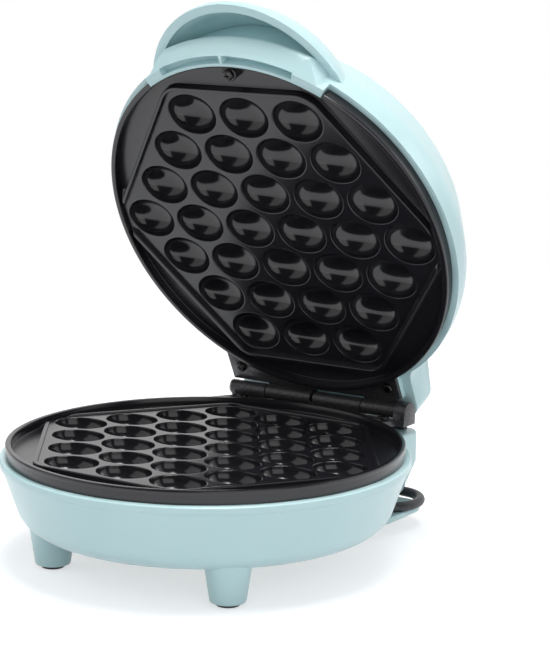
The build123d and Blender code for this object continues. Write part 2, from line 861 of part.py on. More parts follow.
base_leaf_thick = 3.0
with BuildPart() as base_hinge_bracket:
    add(
        across(
            leaf_left,
            leaf_right,
            [
                (base_leaf_front, base_leaf_top(base_leaf_front)),
                (base_leaf_back, base_leaf_top(base_leaf_back)),
                (base_leaf_back, box_top),
                (base_leaf_back - 3, box_top),
                (base_leaf_back - 3, base_leaf_top(base_leaf_back - 3) - base_leaf_thick),
                (base_leaf_front, base_leaf_top(base_leaf_front) - base_leaf_thick),
            ],
        )
    )
    with BuildSketch(Plane.XY.offset(box_top)):
        with Locations(*bracket_screws):
            Circle(4.2)
    extrude(amount=5)
    for left, right in base_knuckles:
        web = [
            (hinge_y - 2.5, base_leaf_top(hinge_y) - 1),
            (hinge_y + 2.5, base_leaf_top(hinge_y) - 1),
            (hinge_y + 3.4, hinge_z - 1.5),
            (hinge_y - 3.4, hinge_z - 1.5),
        ]
        add(across(left, right, web))
    cheek_radius = barrel_radius + 1.5
    add(
        across(
            cheek_left,
            cheek_right,
            [
                (hinge_y - cheek_radius, hinge_z),
                (hinge_y - cheek_radius - 1, cheek_low),
                (hinge_y + cheek_radius, cheek_low),
                (hinge_y + cheek_radius, hinge_z),
            ],
        )
    )
    with BuildSketch(Plane(origin=(cheek_left, hinge_y, hinge_z), z_dir=(1, 0, 0))):
        Circle(cheek_radius)
    extrude(amount=cheek_right - cheek_left)
    add(
        across(
            leaf_right - 1,
            cheek_left + 3,
            [
                (hinge_y - cheek_radius - 1, cheek_low),
                (hinge_y - cheek_radius - 1, cheek_low + 3),
                (hinge_y + cheek_radius, cheek_low + 3),
                (hinge_y + cheek_radius, cheek_low),
            ],
        )
    )
    for left, right in base_knuckles:
        add(barrel(left, right, 0.5))
    with BuildSketch(Plane(origin=(leaf_left - 1, hinge_y, hinge_z), z_dir=(1, 0, 0))):
        Circle(pin_radius + 0.02)
    extrude(amount=pin_end + 0.1 - leaf_left + 1, mode=Mode.SUBTRACT)
    for left, right in lid_knuckles:
        with BuildSketch(Plane(origin=(left - 0.6, hinge_y, hinge_z), z_dir=(1, 0, 0))):
            Circle(barrel_radius + 0.5)
        extrude(amount=right - left + 1.2, mode=Mode.SUBTRACT)
    with BuildSketch(Plane.XY.offset(box_top - 1)):
        Circle(plate_radius + plate_clearance)
    extrude(amount=12, mode=Mode.SUBTRACT)
    with BuildSketch(Plane.XY.offset(box_top - 1)):
        Circle(base_lip_radius + 0.2)
    extrude(amount=lip_top + 0.4 - box_top + 1, mode=Mode.SUBTRACT)
    with BuildSketch(Plane.XY.offset(box_top - 1)):
        with Locations(*bracket_screws):
            Circle(screw_core + 0.2)
    extrude(amount=12, mode=Mode.SUBTRACT)
placed(base_hinge_bracket, "base_hinge_bracket")

bracket_seat = base_leaf_top(bracket_screws[0][1] - screw_head) + 0.02
base_hinge_screws = screw_set(screw(14), bracket_screws, bracket_seat)
placed(base_hinge_screws, "base_hinge_screws")

with BuildPart() as lid_hinge_bracket:
    with BuildSketch(Plane.XY.offset(leaf_low)):
        with BuildLine():
            Polyline(
                (leaf_left, plate_radius - 20),
                (leaf_right, plate_radius - 20),
                (leaf_right, hinge_y - cheek_radius - 1),
                (lid_knuckles[1][1], hinge_y - cheek_radius - 1),
                (lid_knuckles[1][1], hinge_y),
                (leaf_left, hinge_y),
                close=True,
            )
        make_face()
        Circle(plate_radius + plate_clearance, mode=Mode.SUBTRACT)
        for left, right in base_knuckles:
            with Locations(((left + right) / 2, hinge_y)):
                Rectangle(right - left + 1.4, 2 * barrel_radius + 1.2, mode=Mode.SUBTRACT)
        with Locations(*lid_leaf_screws):
            Circle(screw_core + 0.2, mode=Mode.SUBTRACT)
    extrude(amount=leaf_thick)
    for left, right in lid_knuckles:
        add(barrel(left, right, 0.5))
    with BuildSketch(Plane(origin=(leaf_left - 1, hinge_y, hinge_z), z_dir=(1, 0, 0))):
        Circle(pin_radius + running_clearance)
    extrude(amount=120, mode=Mode.SUBTRACT)
placed(lid_hinge_bracket, "lid_hinge_bracket", on_lid=True)

lid_hinge_screws = screw_set(screw(12), lid_leaf_screws, leaf_low, turn=180)
placed(lid_hinge_screws, "lid_hinge_screws", on_lid=True)

groove_radius = pin_radius - 0.5
with BuildPart() as hinge_pin:
    with BuildSketch(Plane(origin=(leaf_left - 2.4, hinge_y, hinge_z), z_dir=(1, 0, 0))):
        Circle(pin_radius)
    extrude(amount=pin_end - leaf_left + 2.4)
    with BuildSketch(Plane(origin=(leaf_left - 1.1, hinge_y, hinge_z), z_dir=(1, 0, 0))):
        Circle(pin_radius + 1)
        Circle(groove_radius, mode=Mode.SUBTRACT)
    extrude(amount=1, mode=Mode.SUBTRACT)
placed(hinge_pin, "hinge_pin")
with BuildPart() as pin_clip:
    with BuildSketch(Plane(origin=(leaf_left - 1.05, hinge_y, hinge_z), z_dir=(1, 0, 0))):
        Circle(4)
        Circle(groove_radius + 0.03, mode=Mode.SUBTRACT)
        with Locations((0, -3)):
            Rectangle(2.4, 4, mode=Mode.SUBTRACT)
    extrude(amount=0.9)
placed(pin_clip, "pin_clip")


# --- lid shell ------------------------------------------------------------------------------------------
dome_line = [
    (0, lid_top),
    (38, lid_top),
    (lid_crown_radius, lid_crown_height),
    (lid_shoulder_radius, lid_shoulder_height),
    (lid_rim_radius, lid_rim),
]
dome_rounds = [300, 24, 25]


def foot_of(skin, bottom):
    """The straight lines that close a skin's section down to `bottom` and back to the axis."""
    edge = skin @ 1
    drop = [(edge.X, bottom)] if edge.Y > bottom + 0.01 else []
    return [edge, *drop, (0, bottom), skin @ 0]


def dome(depth):
    """The lid's round body, or the hollow `depth` inside it."""
    line = inset(dome_line, -depth) if depth else dome_line
    with BuildPart() as body:
        with BuildSketch(Plane.XZ):
            with BuildLine():
                skin = FilletPolyline(line, radius=[r - depth for r in dome_rounds])
                Polyline(*foot_of(skin, lid_rim - (1 if depth else 0)))
            make_face()
        revolve(axis=Axis.Z)
    return body.part


def lid_box(depth):
    """The hinge housing at the back of the lid, or the hollow `depth` inside it."""
    half, back = lid_box_half - depth, lid_box_back - depth
    profile = [
        (50, lid_box_bottom + depth),
        (back, lid_box_bottom + depth),
        (back - 1.5, lid_box_top - depth),
        (50, lid_box_top - depth + (back - 51.5) * lid_box_slope),
    ]
    with BuildPart() as box:
        with BuildSketch(Plane(origin=(-half, 0, 0), x_dir=(0, 1, 0), z_dir=(1, 0, 0))) as side:
            with BuildLine():
                Polyline(*profile, close=True)
            make_face()
            fillet(side.vertices().group_by(Axis.X)[-2], 9 - depth)
        extrude(amount=2 * half)
        with BuildSketch(Plane.XY.offset(lid_box_bottom)):
            with Locations((0, back / 2)):
                RectangleRounded(2 * half, back, 9 - depth)
        extrude(amount=60, mode=Mode.INTERSECT)
    return box.part


def box_blend():
    """The hollow curves that lead the lid's rim into the sides of its box."""
    with BuildPart() as blend:
        with BuildSketch(Plane.XY.offset(lid_box_bottom)) as plan:
            Circle(lid_shoulder_radius - 0.5)
            with Locations((0, hinge_y / 2)):
                Rectangle(2 * lid_box_half, hinge_y)
            fillet(
                plan.vertices().filter_by(lambda v: abs(abs(v.X) - lid_box_half) < 0.1 and 40 < v.Y < hinge_y - 1),
                lid_box_blend,
            )
            with Locations((0, hinge_y / 2)):
                Rectangle(3 * lid_box_half, hinge_y - 1, mode=Mode.INTERSECT)
        extrude(amount=lid_box_blend_rise - lid_box_gap)
    return blend.part


def hood(depth):
    """The front hood over the finger recess, a round nose, or the hollow inside it."""
    top = hood_ceiling + hood_wall
    line = [
        (0, top + 7),
        (26, top + 7),
        (hood_radius - 9, top - 8),
        (hood_radius, hood_bottom + 4),
        (hood_radius, hood_bottom),
    ]
    rounds = [26, 22, 10]
    if depth:
        line = inset(line, -depth)
        rounds = [r - depth for r in rounds]
    with BuildPart() as nose:
        with BuildSketch(Plane.XZ):
            with BuildLine():
                skin = FilletPolyline(line, radius=rounds)
                Polyline(*foot_of(skin, lid_rim - 8 if depth else hood_bottom))
            make_face()
        revolve(axis=Axis.Z)
    return Pos(0, hood_centre_y, 0) * nose.part


recess = hood(hood_wall) - Cylinder(
    liner_back - liner_thick - 0.1, 200, align=(Align.CENTER, Align.CENTER, Align.CENTER)
)
lamp_places = [(-11, 26), (11, 26)]
lamp_post_places = [(-22, 26), (22, 26)]
holder_top = lid_top - 17
lens_radius = 4.0
pad_low = leaf_low + leaf_thick
pad_left = 0.5 - lid_box_half
lug_end = upper_field + lug_drop
with BuildPart() as lid_shell:
    add(dome(0))
    add(lid_box(0))
    add(box_blend())
    add(hood(0))
    add(dome(wall), mode=Mode.SUBTRACT)
    add(lid_box(wall), mode=Mode.SUBTRACT)
    add(recess, mode=Mode.SUBTRACT)
    # the lip that the plate sits against
    with BuildSketch(Plane.XY.offset(lid_rim)):
        Circle(lid_rim_radius - wall + 0.2)
        Circle(plate_skirt_radius + 0.2, mode=Mode.SUBTRACT)
    extrude(amount=2)
    # pads under the hinge leaf, with a pocket for the plate's tab
    with BuildSketch(Plane.XY.offset(pad_low)):
        with Locations(((pad_left + leaf_right) / 2, plate_radius - 8)):
            Rectangle(leaf_right - pad_left, 21)
        Circle(plate_radius + plate_clearance, mode=Mode.SUBTRACT)
    extrude(amount=lid_box_bottom + 1 - pad_low)
    with BuildSketch(Plane.XY.offset(pad_low)):
        with Locations((0, plate_radius)):
            Rectangle(37, 12)
    extrude(amount=lid_rim - pad_low, mode=Mode.SUBTRACT)
    with BuildSketch(Plane.XY.offset(pad_low)):
        with Locations(*lid_leaf_screws):
            Circle(4)
    extrude(amount=16)
    with BuildSketch(Plane.XY.offset(pad_low)):
        with Locations(*lid_leaf_screws):
            Circle(screw_core)
    extrude(amount=13, mode=Mode.SUBTRACT)
    # plate posts with a shoulder for the reflector and a peg in each lug
    with BuildSketch(Plane.XY.offset(upper_post_shoulder)):
        with Locations(*lug_places):
            Circle(6)
    extrude(amount=lid_top - wall / 2 - upper_post_shoulder)
    with BuildSketch(Plane.XY.offset(lug_end)):
        with Locations(*lug_places):
            Circle(4)
    extrude(amount=upper_post_shoulder - lug_end)
    with BuildSketch(Plane.XY.offset(lug_end - 7)):
        with Locations(*lug_places):
            Circle(screw_core - running_clearance)
    extrude(amount=7)
    # post of the front screw
    with BuildSketch(Plane.XY.offset(upper_field + plate_slab)):
        with Locations((0, -front_screw_y)):
            Circle(4)
    extrude(amount=14)
    with BuildSketch(Plane.XY.offset(upper_field + plate_slab)):
        with Locations((0, -front_screw_y)):
            Circle(screw_core)
    extrude(amount=11, mode=Mode.SUBTRACT)
    # posts of the lamp holder and the holes of the lamps
    with BuildSketch(Plane.XY.offset(holder_top)):
        with Locations(*lamp_post_places):
            Circle(3)
    extrude(amount=lid_top - wall / 2 - holder_top)
    with BuildSketch(Plane.XY.offset(lid_top - 10)):
        with Locations(*lamp_places):
            Circle(lens_radius + 0.1)
    extrude(amount=12, mode=Mode.SUBTRACT)
placed(lid_shell, "lid_shell", on_lid=True)


# --- handle liner: lip beside the plate, two vent slots, finger ledge and back wall -----------------
lip_inner, lip_outer = rim_inner_radius + 0.6, lid_rim_radius - 0.1
vent_slots = [(-24.6, -2.0), (-1.2, 21.5)]
ledge = [
    (lip_outer - 1.2, upper_rim_plane + 1),
    (lip_outer, upper_rim_plane),
    (tongue_radius, lid_rim + 1.8),
    (tongue_radius, lid_rim + 4),
    (tongue_radius - 2.5, lid_rim + 6.2),
    (liner_back, lid_rim + 6.2),
    (liner_back, hood_ceiling - 0.1),
    (liner_back - liner_thick, hood_ceiling - 0.1),
    (liner_back - liner_thick, upper_rim_plane + 1),
]
with BuildPart() as handle_liner:
    with BuildSketch(Plane.XZ.rotated((0, 0, -90 - tongue_half_angle))):
        with BuildLine():
            Polyline(*ledge, close=True)
        make_face()
    revolve(axis=Axis.Z, revolution_arc=2 * tongue_half_angle)
    add(hood(hood_wall + 0.1), mode=Mode.INTERSECT)
    add(sector(lip_inner, lip_outer, liner_half_angle, upper_rim_plane, lid_rim))
    for start, end in vent_slots:
        middle, half = (start + end) / 2, (end - start) / 2
        add(
            sector(plate_radius - slot_overhang, lip_outer + slot_overhang, half, upper_rim_plane - 1, lid_rim - 1.5, -90 + middle),
            mode=Mode.SUBTRACT,
        )
placed(handle_liner, "handle_liner", on_lid=True)

front_screw_seat = upper_rim_plane - 0.02
with BuildPart() as upper_plate_screw:
    with Locations(Pos(0, -front_screw_y, front_screw_seat)):
        add(screw(16), rotation=(180, 0, 0))
placed(upper_plate_screw, "upper_plate_screw", on_lid=True)


# --- lamps and fuse in the lid ---------------------------------------------------------------------------
with BuildPart() as lamp_holder:
    with BuildSketch(Plane.XY.offset(holder_top - 2)):
        with Locations((0, lamp_places[0][1])):
            RectangleRounded(52, 12, 3)
    extrude(amount=2)
placed(lamp_holder, "lamp_holder", on_lid=True)
with BuildPart() as neon_lamps:
    with BuildSketch(Plane.XY.offset(holder_top)):
        with Locations(*lamp_places):
            Circle(2.4)
    extrude(amount=10)
    fillet(neon_lamps.edges().group_by(Axis.Z)[-1], 1.8)
placed(neon_lamps, "neon_lamps", on_lid=True)
for name, place in zip(("power_lamp_lens", "ready_lamp_lens"), lamp_places):
    with BuildPart() as lens:
        with BuildSketch(Plane.XY.offset(lid_top - 6)):
            with Locations(place):
                Circle(lens_radius)
        extrude(amount=6)
        with BuildSketch(Plane.XY.offset(lid_top)):
            with Locations(place):
                Circle(lens_radius + 1)
        extrude(amount=1.4)
        fillet(lens.edges().group_by(Axis.Z)[-1], 1.0)
    placed(lens, name, on_lid=True)

slab_over = upper_field + plate_slab
with BuildPart() as thermal_fuse:
    with BuildSketch(Plane(origin=(-9, fuse_y, slab_over + 3.05), z_dir=(1, 0, 0))):
        Circle(3)
    extrude(amount=18)
placed(thermal_fuse, "thermal_fuse", on_lid=True)
fuse_axis = slab_over + 3.05
with BuildPart() as fuse_clip:
    with BuildSketch(Plane(origin=(-3.5, fuse_y, slab_over), x_dir=(0, 1, 0), z_dir=(1, 0, 0))):
        with Locations((0, 3.6)):
            RectangleRounded(9, 7.2, 2)
        with Locations((0, 1)):
            Rectangle(9, 2)
        with Locations((0, fuse_axis - slab_over)):
            Circle(3.05, mode=Mode.SUBTRACT)
        with Locations((0, (fuse_axis - slab_over) / 2)):
            Rectangle(6.1, fuse_axis - slab_over, mode=Mode.SUBTRACT)
    extrude(amount=7)
placed(fuse_clip, "fuse_clip", on_lid=True)

pin_high = upper_element_z + element_leg + 4
with BuildPart() as lid_wires:
    add(
        rod_path(
            [
                (right_leg[0], right_leg[1], pin_high),
                (right_leg[0], right_leg[1], pin_high + 2.5),
                (11, 30, pin_high + 2.5),
                (11, 30, holder_top - 2),
            ],
            wire_radius,
        )
    )
    add(
        rod_path(
            [
                (left_leg[0], left_leg[1], pin_high),
                (left_leg[0], left_leg[1], pin_high + 2.5),
                (-14, fuse_y - 7.5, pin_high - 2),
                (-14, fuse_y, slab_over + 3.05),
                (-9, fuse_y, slab_over + 3.05),
            ],
            wire_radius,
        )
    )
placed(lid_wires, "lid_wires", on_lid=True)


# --- mains cord --------------------------------------------------------------------------------------------
coil_z = tray_top + cord_radius
outer_turn = turn_radius + cord_diameter + 0.2
tail_x = -14.0
with BuildPart() as cord_coil:
    with BuildSketch(Plane.XY.offset(tray_top)):
        with Locations((0, hub_y)):
            SlotCenterToCenter(2 * loop_reach, 2 * (outer_turn + cord_radius))
            SlotCenterToCenter(2 * loop_reach, 2 * (turn_radius + cord_radius), mode=Mode.SUBTRACT)
            with Locations((tail_x - 100, 0)):
                Rectangle(200, 200, mode=Mode.SUBTRACT)
        with BuildSketch(mode=Mode.PRIVATE) as inner_turn:
            with Locations((hub_middle, hub_y)):
                SlotCenterToCenter(hub_length, 2 * (turn_radius + cord_radius + 0.1))
                SlotCenterToCenter(hub_length, 2 * (turn_radius - cord_radius - 0.1), mode=Mode.SUBTRACT)
        add(inner_turn.sketch)
        with Locations(((boot_start - gland_width - 1 + boot_end) / 2, lane_y)):
            Rectangle(boot_end - boot_start + gland_width + 1, 8, mode=Mode.SUBTRACT)
    extrude(amount=cord_diameter)
placed(cord_coil, "cord_coil")

tail = [
    (tail_x, hub_y + outer_turn, coil_z),
    (tail_x - 18, hub_y + outer_turn, coil_z),
    (-53, 129.5, 17.2),
    (-75, 133, 14.0),
    (-93, 143, 6.5),
    (-101, 159, cord_radius + 0.15),
    (-97, 176, cord_radius + 0.15),
    (-83, 186, 3.4),
    (-65, 187, 6.6),
]


def corner_radii(points):
    """Each corner's arc takes nine tenths of half its shorter run."""
    radii = []
    for a, b, c in zip(points, points[1:], points[2:]):
        first, second = Vector(*b) - Vector(*a), Vector(*c) - Vector(*b)
        half_turn = radians(first.get_angle(second)) / 2
        radii.append(0.45 * min(first.length, second.length) / tan(half_turn))
    return radii


tail_radii = corner_radii(tail)
with BuildPart() as power_cord:
    with BuildLine() as tail_line:
        FilletPolyline(*tail, radius=tail_radii)
    tail_start = Vector(*tail[0])
    with BuildSketch(Plane(origin=tail_start, z_dir=Vector(*tail[1]) - tail_start)):
        Circle(cord_radius)
    sweep()
placed(power_cord, "power_cord")
tail_length = sum(edge.length for edge in tail_line.edges())
print("tail", round(tail_length, 1), "radii", [round(r, 1) for r in tail_radii])
print("tail volume over section times length", power_cord.part.volume / (pi * cord_radius**2 * tail_length))

# the plug lies on its side behind the base
plug_start = Vector(*tail[-1])
plug_way = Vector(tail[-1][0] - tail[-2][0], tail[-1][1] - tail[-2][1], 0).normalized()
cord_way = (Vector(*tail[-1]) - Vector(*tail[-2])).normalized()
plug_level = 8.2
plug_body_start = plug_start + plug_way * 16
plug_body_start = Vector(plug_body_start.X, plug_body_start.Y, plug_level)
with BuildPart() as plug_body:
    with BuildSketch(Plane(origin=plug_start, z_dir=cord_way)):
        Circle(cord_radius + 0.3)
    with BuildSketch(Plane(origin=plug_body_start, z_dir=plug_way)):
        Circle(4.4)
    loft()
    with BuildSketch(Plane(origin=plug_body_start, z_dir=plug_way, x_dir=(0, 0, 1))):
        RectangleRounded(11, 15, 3.5)
    with BuildSketch(Plane(origin=plug_body_start + plug_way * 22, z_dir=plug_way, x_dir=(0, 0, 1))):
        RectangleRounded(16, 24, 4)
    loft()
placed(plug_body, "plug_body")
blade_start = plug_body_start + plug_way * 22
with BuildPart() as plug_blades:
    with BuildSketch(Plane(origin=blade_start, z_dir=plug_way, x_dir=(0, 0, 1))):
        with Locations((0, 6.35), (0, -6.35)):
            Rectangle(6.3, 1.5)
    extrude(amount=16)
placed(plug_blades, "plug_blades")
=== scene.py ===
import json
import math

import bmesh
import bpy
from mathutils import Matrix, Vector


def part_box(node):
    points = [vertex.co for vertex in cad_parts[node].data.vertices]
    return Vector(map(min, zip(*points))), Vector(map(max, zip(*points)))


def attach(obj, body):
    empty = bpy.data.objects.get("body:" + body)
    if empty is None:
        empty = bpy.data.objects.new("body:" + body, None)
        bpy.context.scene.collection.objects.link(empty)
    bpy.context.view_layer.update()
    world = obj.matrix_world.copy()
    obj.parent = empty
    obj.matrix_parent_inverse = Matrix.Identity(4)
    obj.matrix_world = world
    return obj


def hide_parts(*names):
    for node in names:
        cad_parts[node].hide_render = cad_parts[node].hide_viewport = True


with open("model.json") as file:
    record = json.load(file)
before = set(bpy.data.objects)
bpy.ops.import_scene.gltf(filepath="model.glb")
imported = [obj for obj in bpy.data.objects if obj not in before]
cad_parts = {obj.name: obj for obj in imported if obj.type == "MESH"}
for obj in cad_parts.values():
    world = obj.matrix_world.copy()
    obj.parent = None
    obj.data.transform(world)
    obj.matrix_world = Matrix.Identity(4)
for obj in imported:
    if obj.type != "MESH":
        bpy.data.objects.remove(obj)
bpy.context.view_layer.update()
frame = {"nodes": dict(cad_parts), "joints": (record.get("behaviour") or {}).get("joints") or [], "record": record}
print("frame loaded:", len(frame["nodes"]), "nodes")

# the plates, screws and cord are modelled in millimetres about the plates' axis, with the lid closed
lidHinge = frame["joints"][0]
hingePoint = Vector(lidHinge["pos_m"])
openAngle = math.radians(-lidHinge["range_deg"][0])
plateLow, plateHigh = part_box("lower_plate")
plateY = (plateLow.y + plateHigh.y) / 2
atPlate = Matrix.Translation((0, plateY, 0)) @ Matrix.Scale(0.001, 4)
fromHinge, toHinge = Matrix.Translation(hingePoint), Matrix.Translation(-hingePoint)
swing = fromHinge @ Matrix.Rotation(-openAngle, 4, "X") @ toHinge
atLid = swing @ atPlate


def newObject(name, data):
    made = bpy.data.objects.new(name, data)
    bpy.context.scene.collection.objects.link(made)
    return made


shot = dict(
    azimuth=33.587,
    elevation=10.629,
    roll=0.581,
    distance=1.0626,
    target=(0.04076, 0.0, 0.12494),  # from the foot of the plates' axis
    lens=121.6,
    clipEnd=50,
)


def makeCamera():
    turn, rise = math.radians(shot["azimuth"]), math.radians(shot["elevation"])
    back = Vector((math.sin(turn) * math.cos(rise), -math.cos(turn) * math.cos(rise), math.sin(rise)))
    camera = newObject("studioCamera", bpy.data.cameras.new("studioCamera"))
    camera.data.lens = shot["lens"]
    camera.data.clip_end = shot["clipEnd"]
    camera.location = Vector(shot["target"]) + Vector((0, plateY, 0)) + back * shot["distance"]
    aim = (-back).to_track_quat("-Z", "Y").to_matrix().to_4x4()
    camera.rotation_euler = (aim @ Matrix.Rotation(math.radians(shot["roll"]), 4, "Z")).to_euler()
    bpy.context.scene.camera = camera


lampAim = (0, 0, 0.12)
lamps = [
    dict(name="topLight", place=(0.25, -0.1, 2.1), size=0.9, power=33),
    dict(name="frontLight", place=(-1.8, -1.5, 1.2), size=2.4, power=13),
    dict(name="backLight", place=(1.5, 1.5, 1.1), size=0.7, power=3),
    dict(name="sideLight", place=(1.7, -1.2, 0.7), size=1.8, power=11),
]


def makeLight():
    for lamp in lamps:
        light = bpy.data.lights.new(lamp["name"], "AREA")
        light.shape, light.size, light.energy = "SQUARE", lamp["size"], lamp["power"]
        holder = newObject(lamp["name"], light)
        holder.location = lamp["place"]
        aim = Vector(lampAim) - holder.location
        holder.rotation_euler = aim.to_track_quat("-Z", "Y").to_euler()


# node helpers for the sky, the finishes and the Geometry Nodes trees
def feed(tree, socket, value):
    if isinstance(value, (int, float, tuple)):
        socket.default_value = value
    else:
        tree.links.new(value, socket)


def sums(tree, operation, *values):
    node = tree.nodes.new("ShaderNodeMath")
    node.operation = operation
    for socket, value in zip(node.inputs, values):
        feed(tree, socket, value)
    return node.outputs[0]


def remapped(tree, value, low, high, start=0.0, stop=1.0, smooth=False):
    node = tree.nodes.new("ShaderNodeMapRange")
    if smooth:
        node.interpolation_type = "SMOOTHSTEP"
    feed(tree, node.inputs["Value"], value)
    for label, amount in (("From Min", start), ("From Max", stop), ("To Min", low), ("To Max", high)):
        feed(tree, node.inputs[label], amount)
    return node.outputs["Result"]


# reflections show a white backdrop behind the object and a dark room in front of it
skyLook = dict(
    colour=(1.0, 1.0, 1.0, 1),
    backdrop=(0.2, 0.98, 0),  # which way the backdrop lies
    backdropStart=0.2,
    backdropEnd=0.5,
    room=0.03,
    ambient=0.38,
)


def makeSky():
    world = bpy.data.worlds.new("studioSky")
    bpy.context.scene.world = world
    world.use_nodes = True
    tree = world.node_tree
    shade = tree.nodes["Background"]
    shade.inputs["Color"].default_value = skyLook["colour"]
    ray = tree.nodes.new("ShaderNodeLightPath")
    seen = sums(tree, "MAXIMUM", ray.outputs["Is Camera Ray"], ray.outputs["Is Transmission Ray"])
    way = tree.nodes.new("ShaderNodeTexCoord")
    facing = tree.nodes.new("ShaderNodeVectorMath")
    facing.operation = "DOT_PRODUCT"
    feed(tree, facing.inputs[0], way.outputs["Generated"])
    feed(tree, facing.inputs[1], skyLook["backdrop"])
    start, stop = skyLook["backdropStart"], skyLook["backdropEnd"]
    behind = remapped(tree, facing.outputs["Value"], 0.0, 1.0, start, stop, smooth=True)
    white = sums(tree, "MULTIPLY_ADD", ray.outputs["Is Glossy Ray"], behind, seen)
    white.node.use_clamp = True
    dim = remapped(tree, ray.outputs["Is Glossy Ray"], skyLook["ambient"], skyLook["room"])
    feed(tree, shade.inputs["Strength"], remapped(tree, white, dim, 1.0))


floorLook = dict(
    size=24,
    colour=(0.62, 0.63, 0.65, 1),
    roughness=0.9,
    glow=(1, 1, 1, 1),
    lift=0.58,  # a glow that only the camera and reflections see
    fadeStart=0.35,
    fadeEnd=1.1,
)


def makeFloor():
    mesh = bpy.data.meshes.new("studioFloor")
    half = floorLook["size"] / 2
    corners = [(-half, -half, 0), (half, -half, 0), (half, half, 0), (-half, half, 0)]
    mesh.from_pydata(corners, [], [(0, 1, 2, 3)])
    floor = newObject("studioFloor", mesh)
    look = bpy.data.materials.new("palePaper")
    look.use_nodes = True
    tree = look.node_tree
    paper = tree.nodes["Principled BSDF"]
    paper.inputs["Base Color"].default_value = floorLook["colour"]
    paper.inputs["Roughness"].default_value = floorLook["roughness"]
    paper.inputs["Emission Color"].default_value = floorLook["glow"]
    ray = tree.nodes.new("ShaderNodeLightPath")
    seen = sums(tree, "MAXIMUM", ray.outputs["Is Camera Ray"], ray.outputs["Is Glossy Ray"])
    feed(tree, paper.inputs["Emission Strength"], sums(tree, "MULTIPLY", seen, floorLook["lift"]))

    # away from the object the paper runs out into plain white
    place = tree.nodes.new("ShaderNodeTexCoord")
    away = tree.nodes.new("ShaderNodeVectorMath")
    away.operation = "LENGTH"
    feed(tree, away.inputs[0], place.outputs["Object"])
    start, stop = floorLook["fadeStart"], floorLook["fadeEnd"]
    fade = remapped(tree, away.outputs["Value"], 0.0, 1.0, start, stop, smooth=True)
    white = tree.nodes.new("ShaderNodeEmission")
    mix = tree.nodes.new("ShaderNodeMixShader")
    feed(tree, mix.inputs["Fac"], sums(tree, "MULTIPLY", fade, ray.outputs["Is Camera Ray"]))
    feed(tree, mix.inputs[1], paper.outputs[0])
    feed(tree, mix.inputs[2], white.outputs[0])
    feed(tree, tree.nodes["Material Output"].inputs["Surface"], mix.outputs[0])
    mesh.materials.append(look)


makeCamera()
makeLight()
makeSky()
makeFloor()
bpy.context.scene.view_settings.view_transform = "Standard"
print("camera, light and floor are set")


def lensFinish(colour, darker=0.8):
    return dict(
        colour=colour,
        roughness=0.12,
        sockets={"Coat Weight": 0.6},
        shades=dict(scale=260, detail=2, dark=tuple(c * darker for c in colour), light=colour),
        relief=dict(scale=700, detail=2, strength=0.08, distance=0.0002),
    )


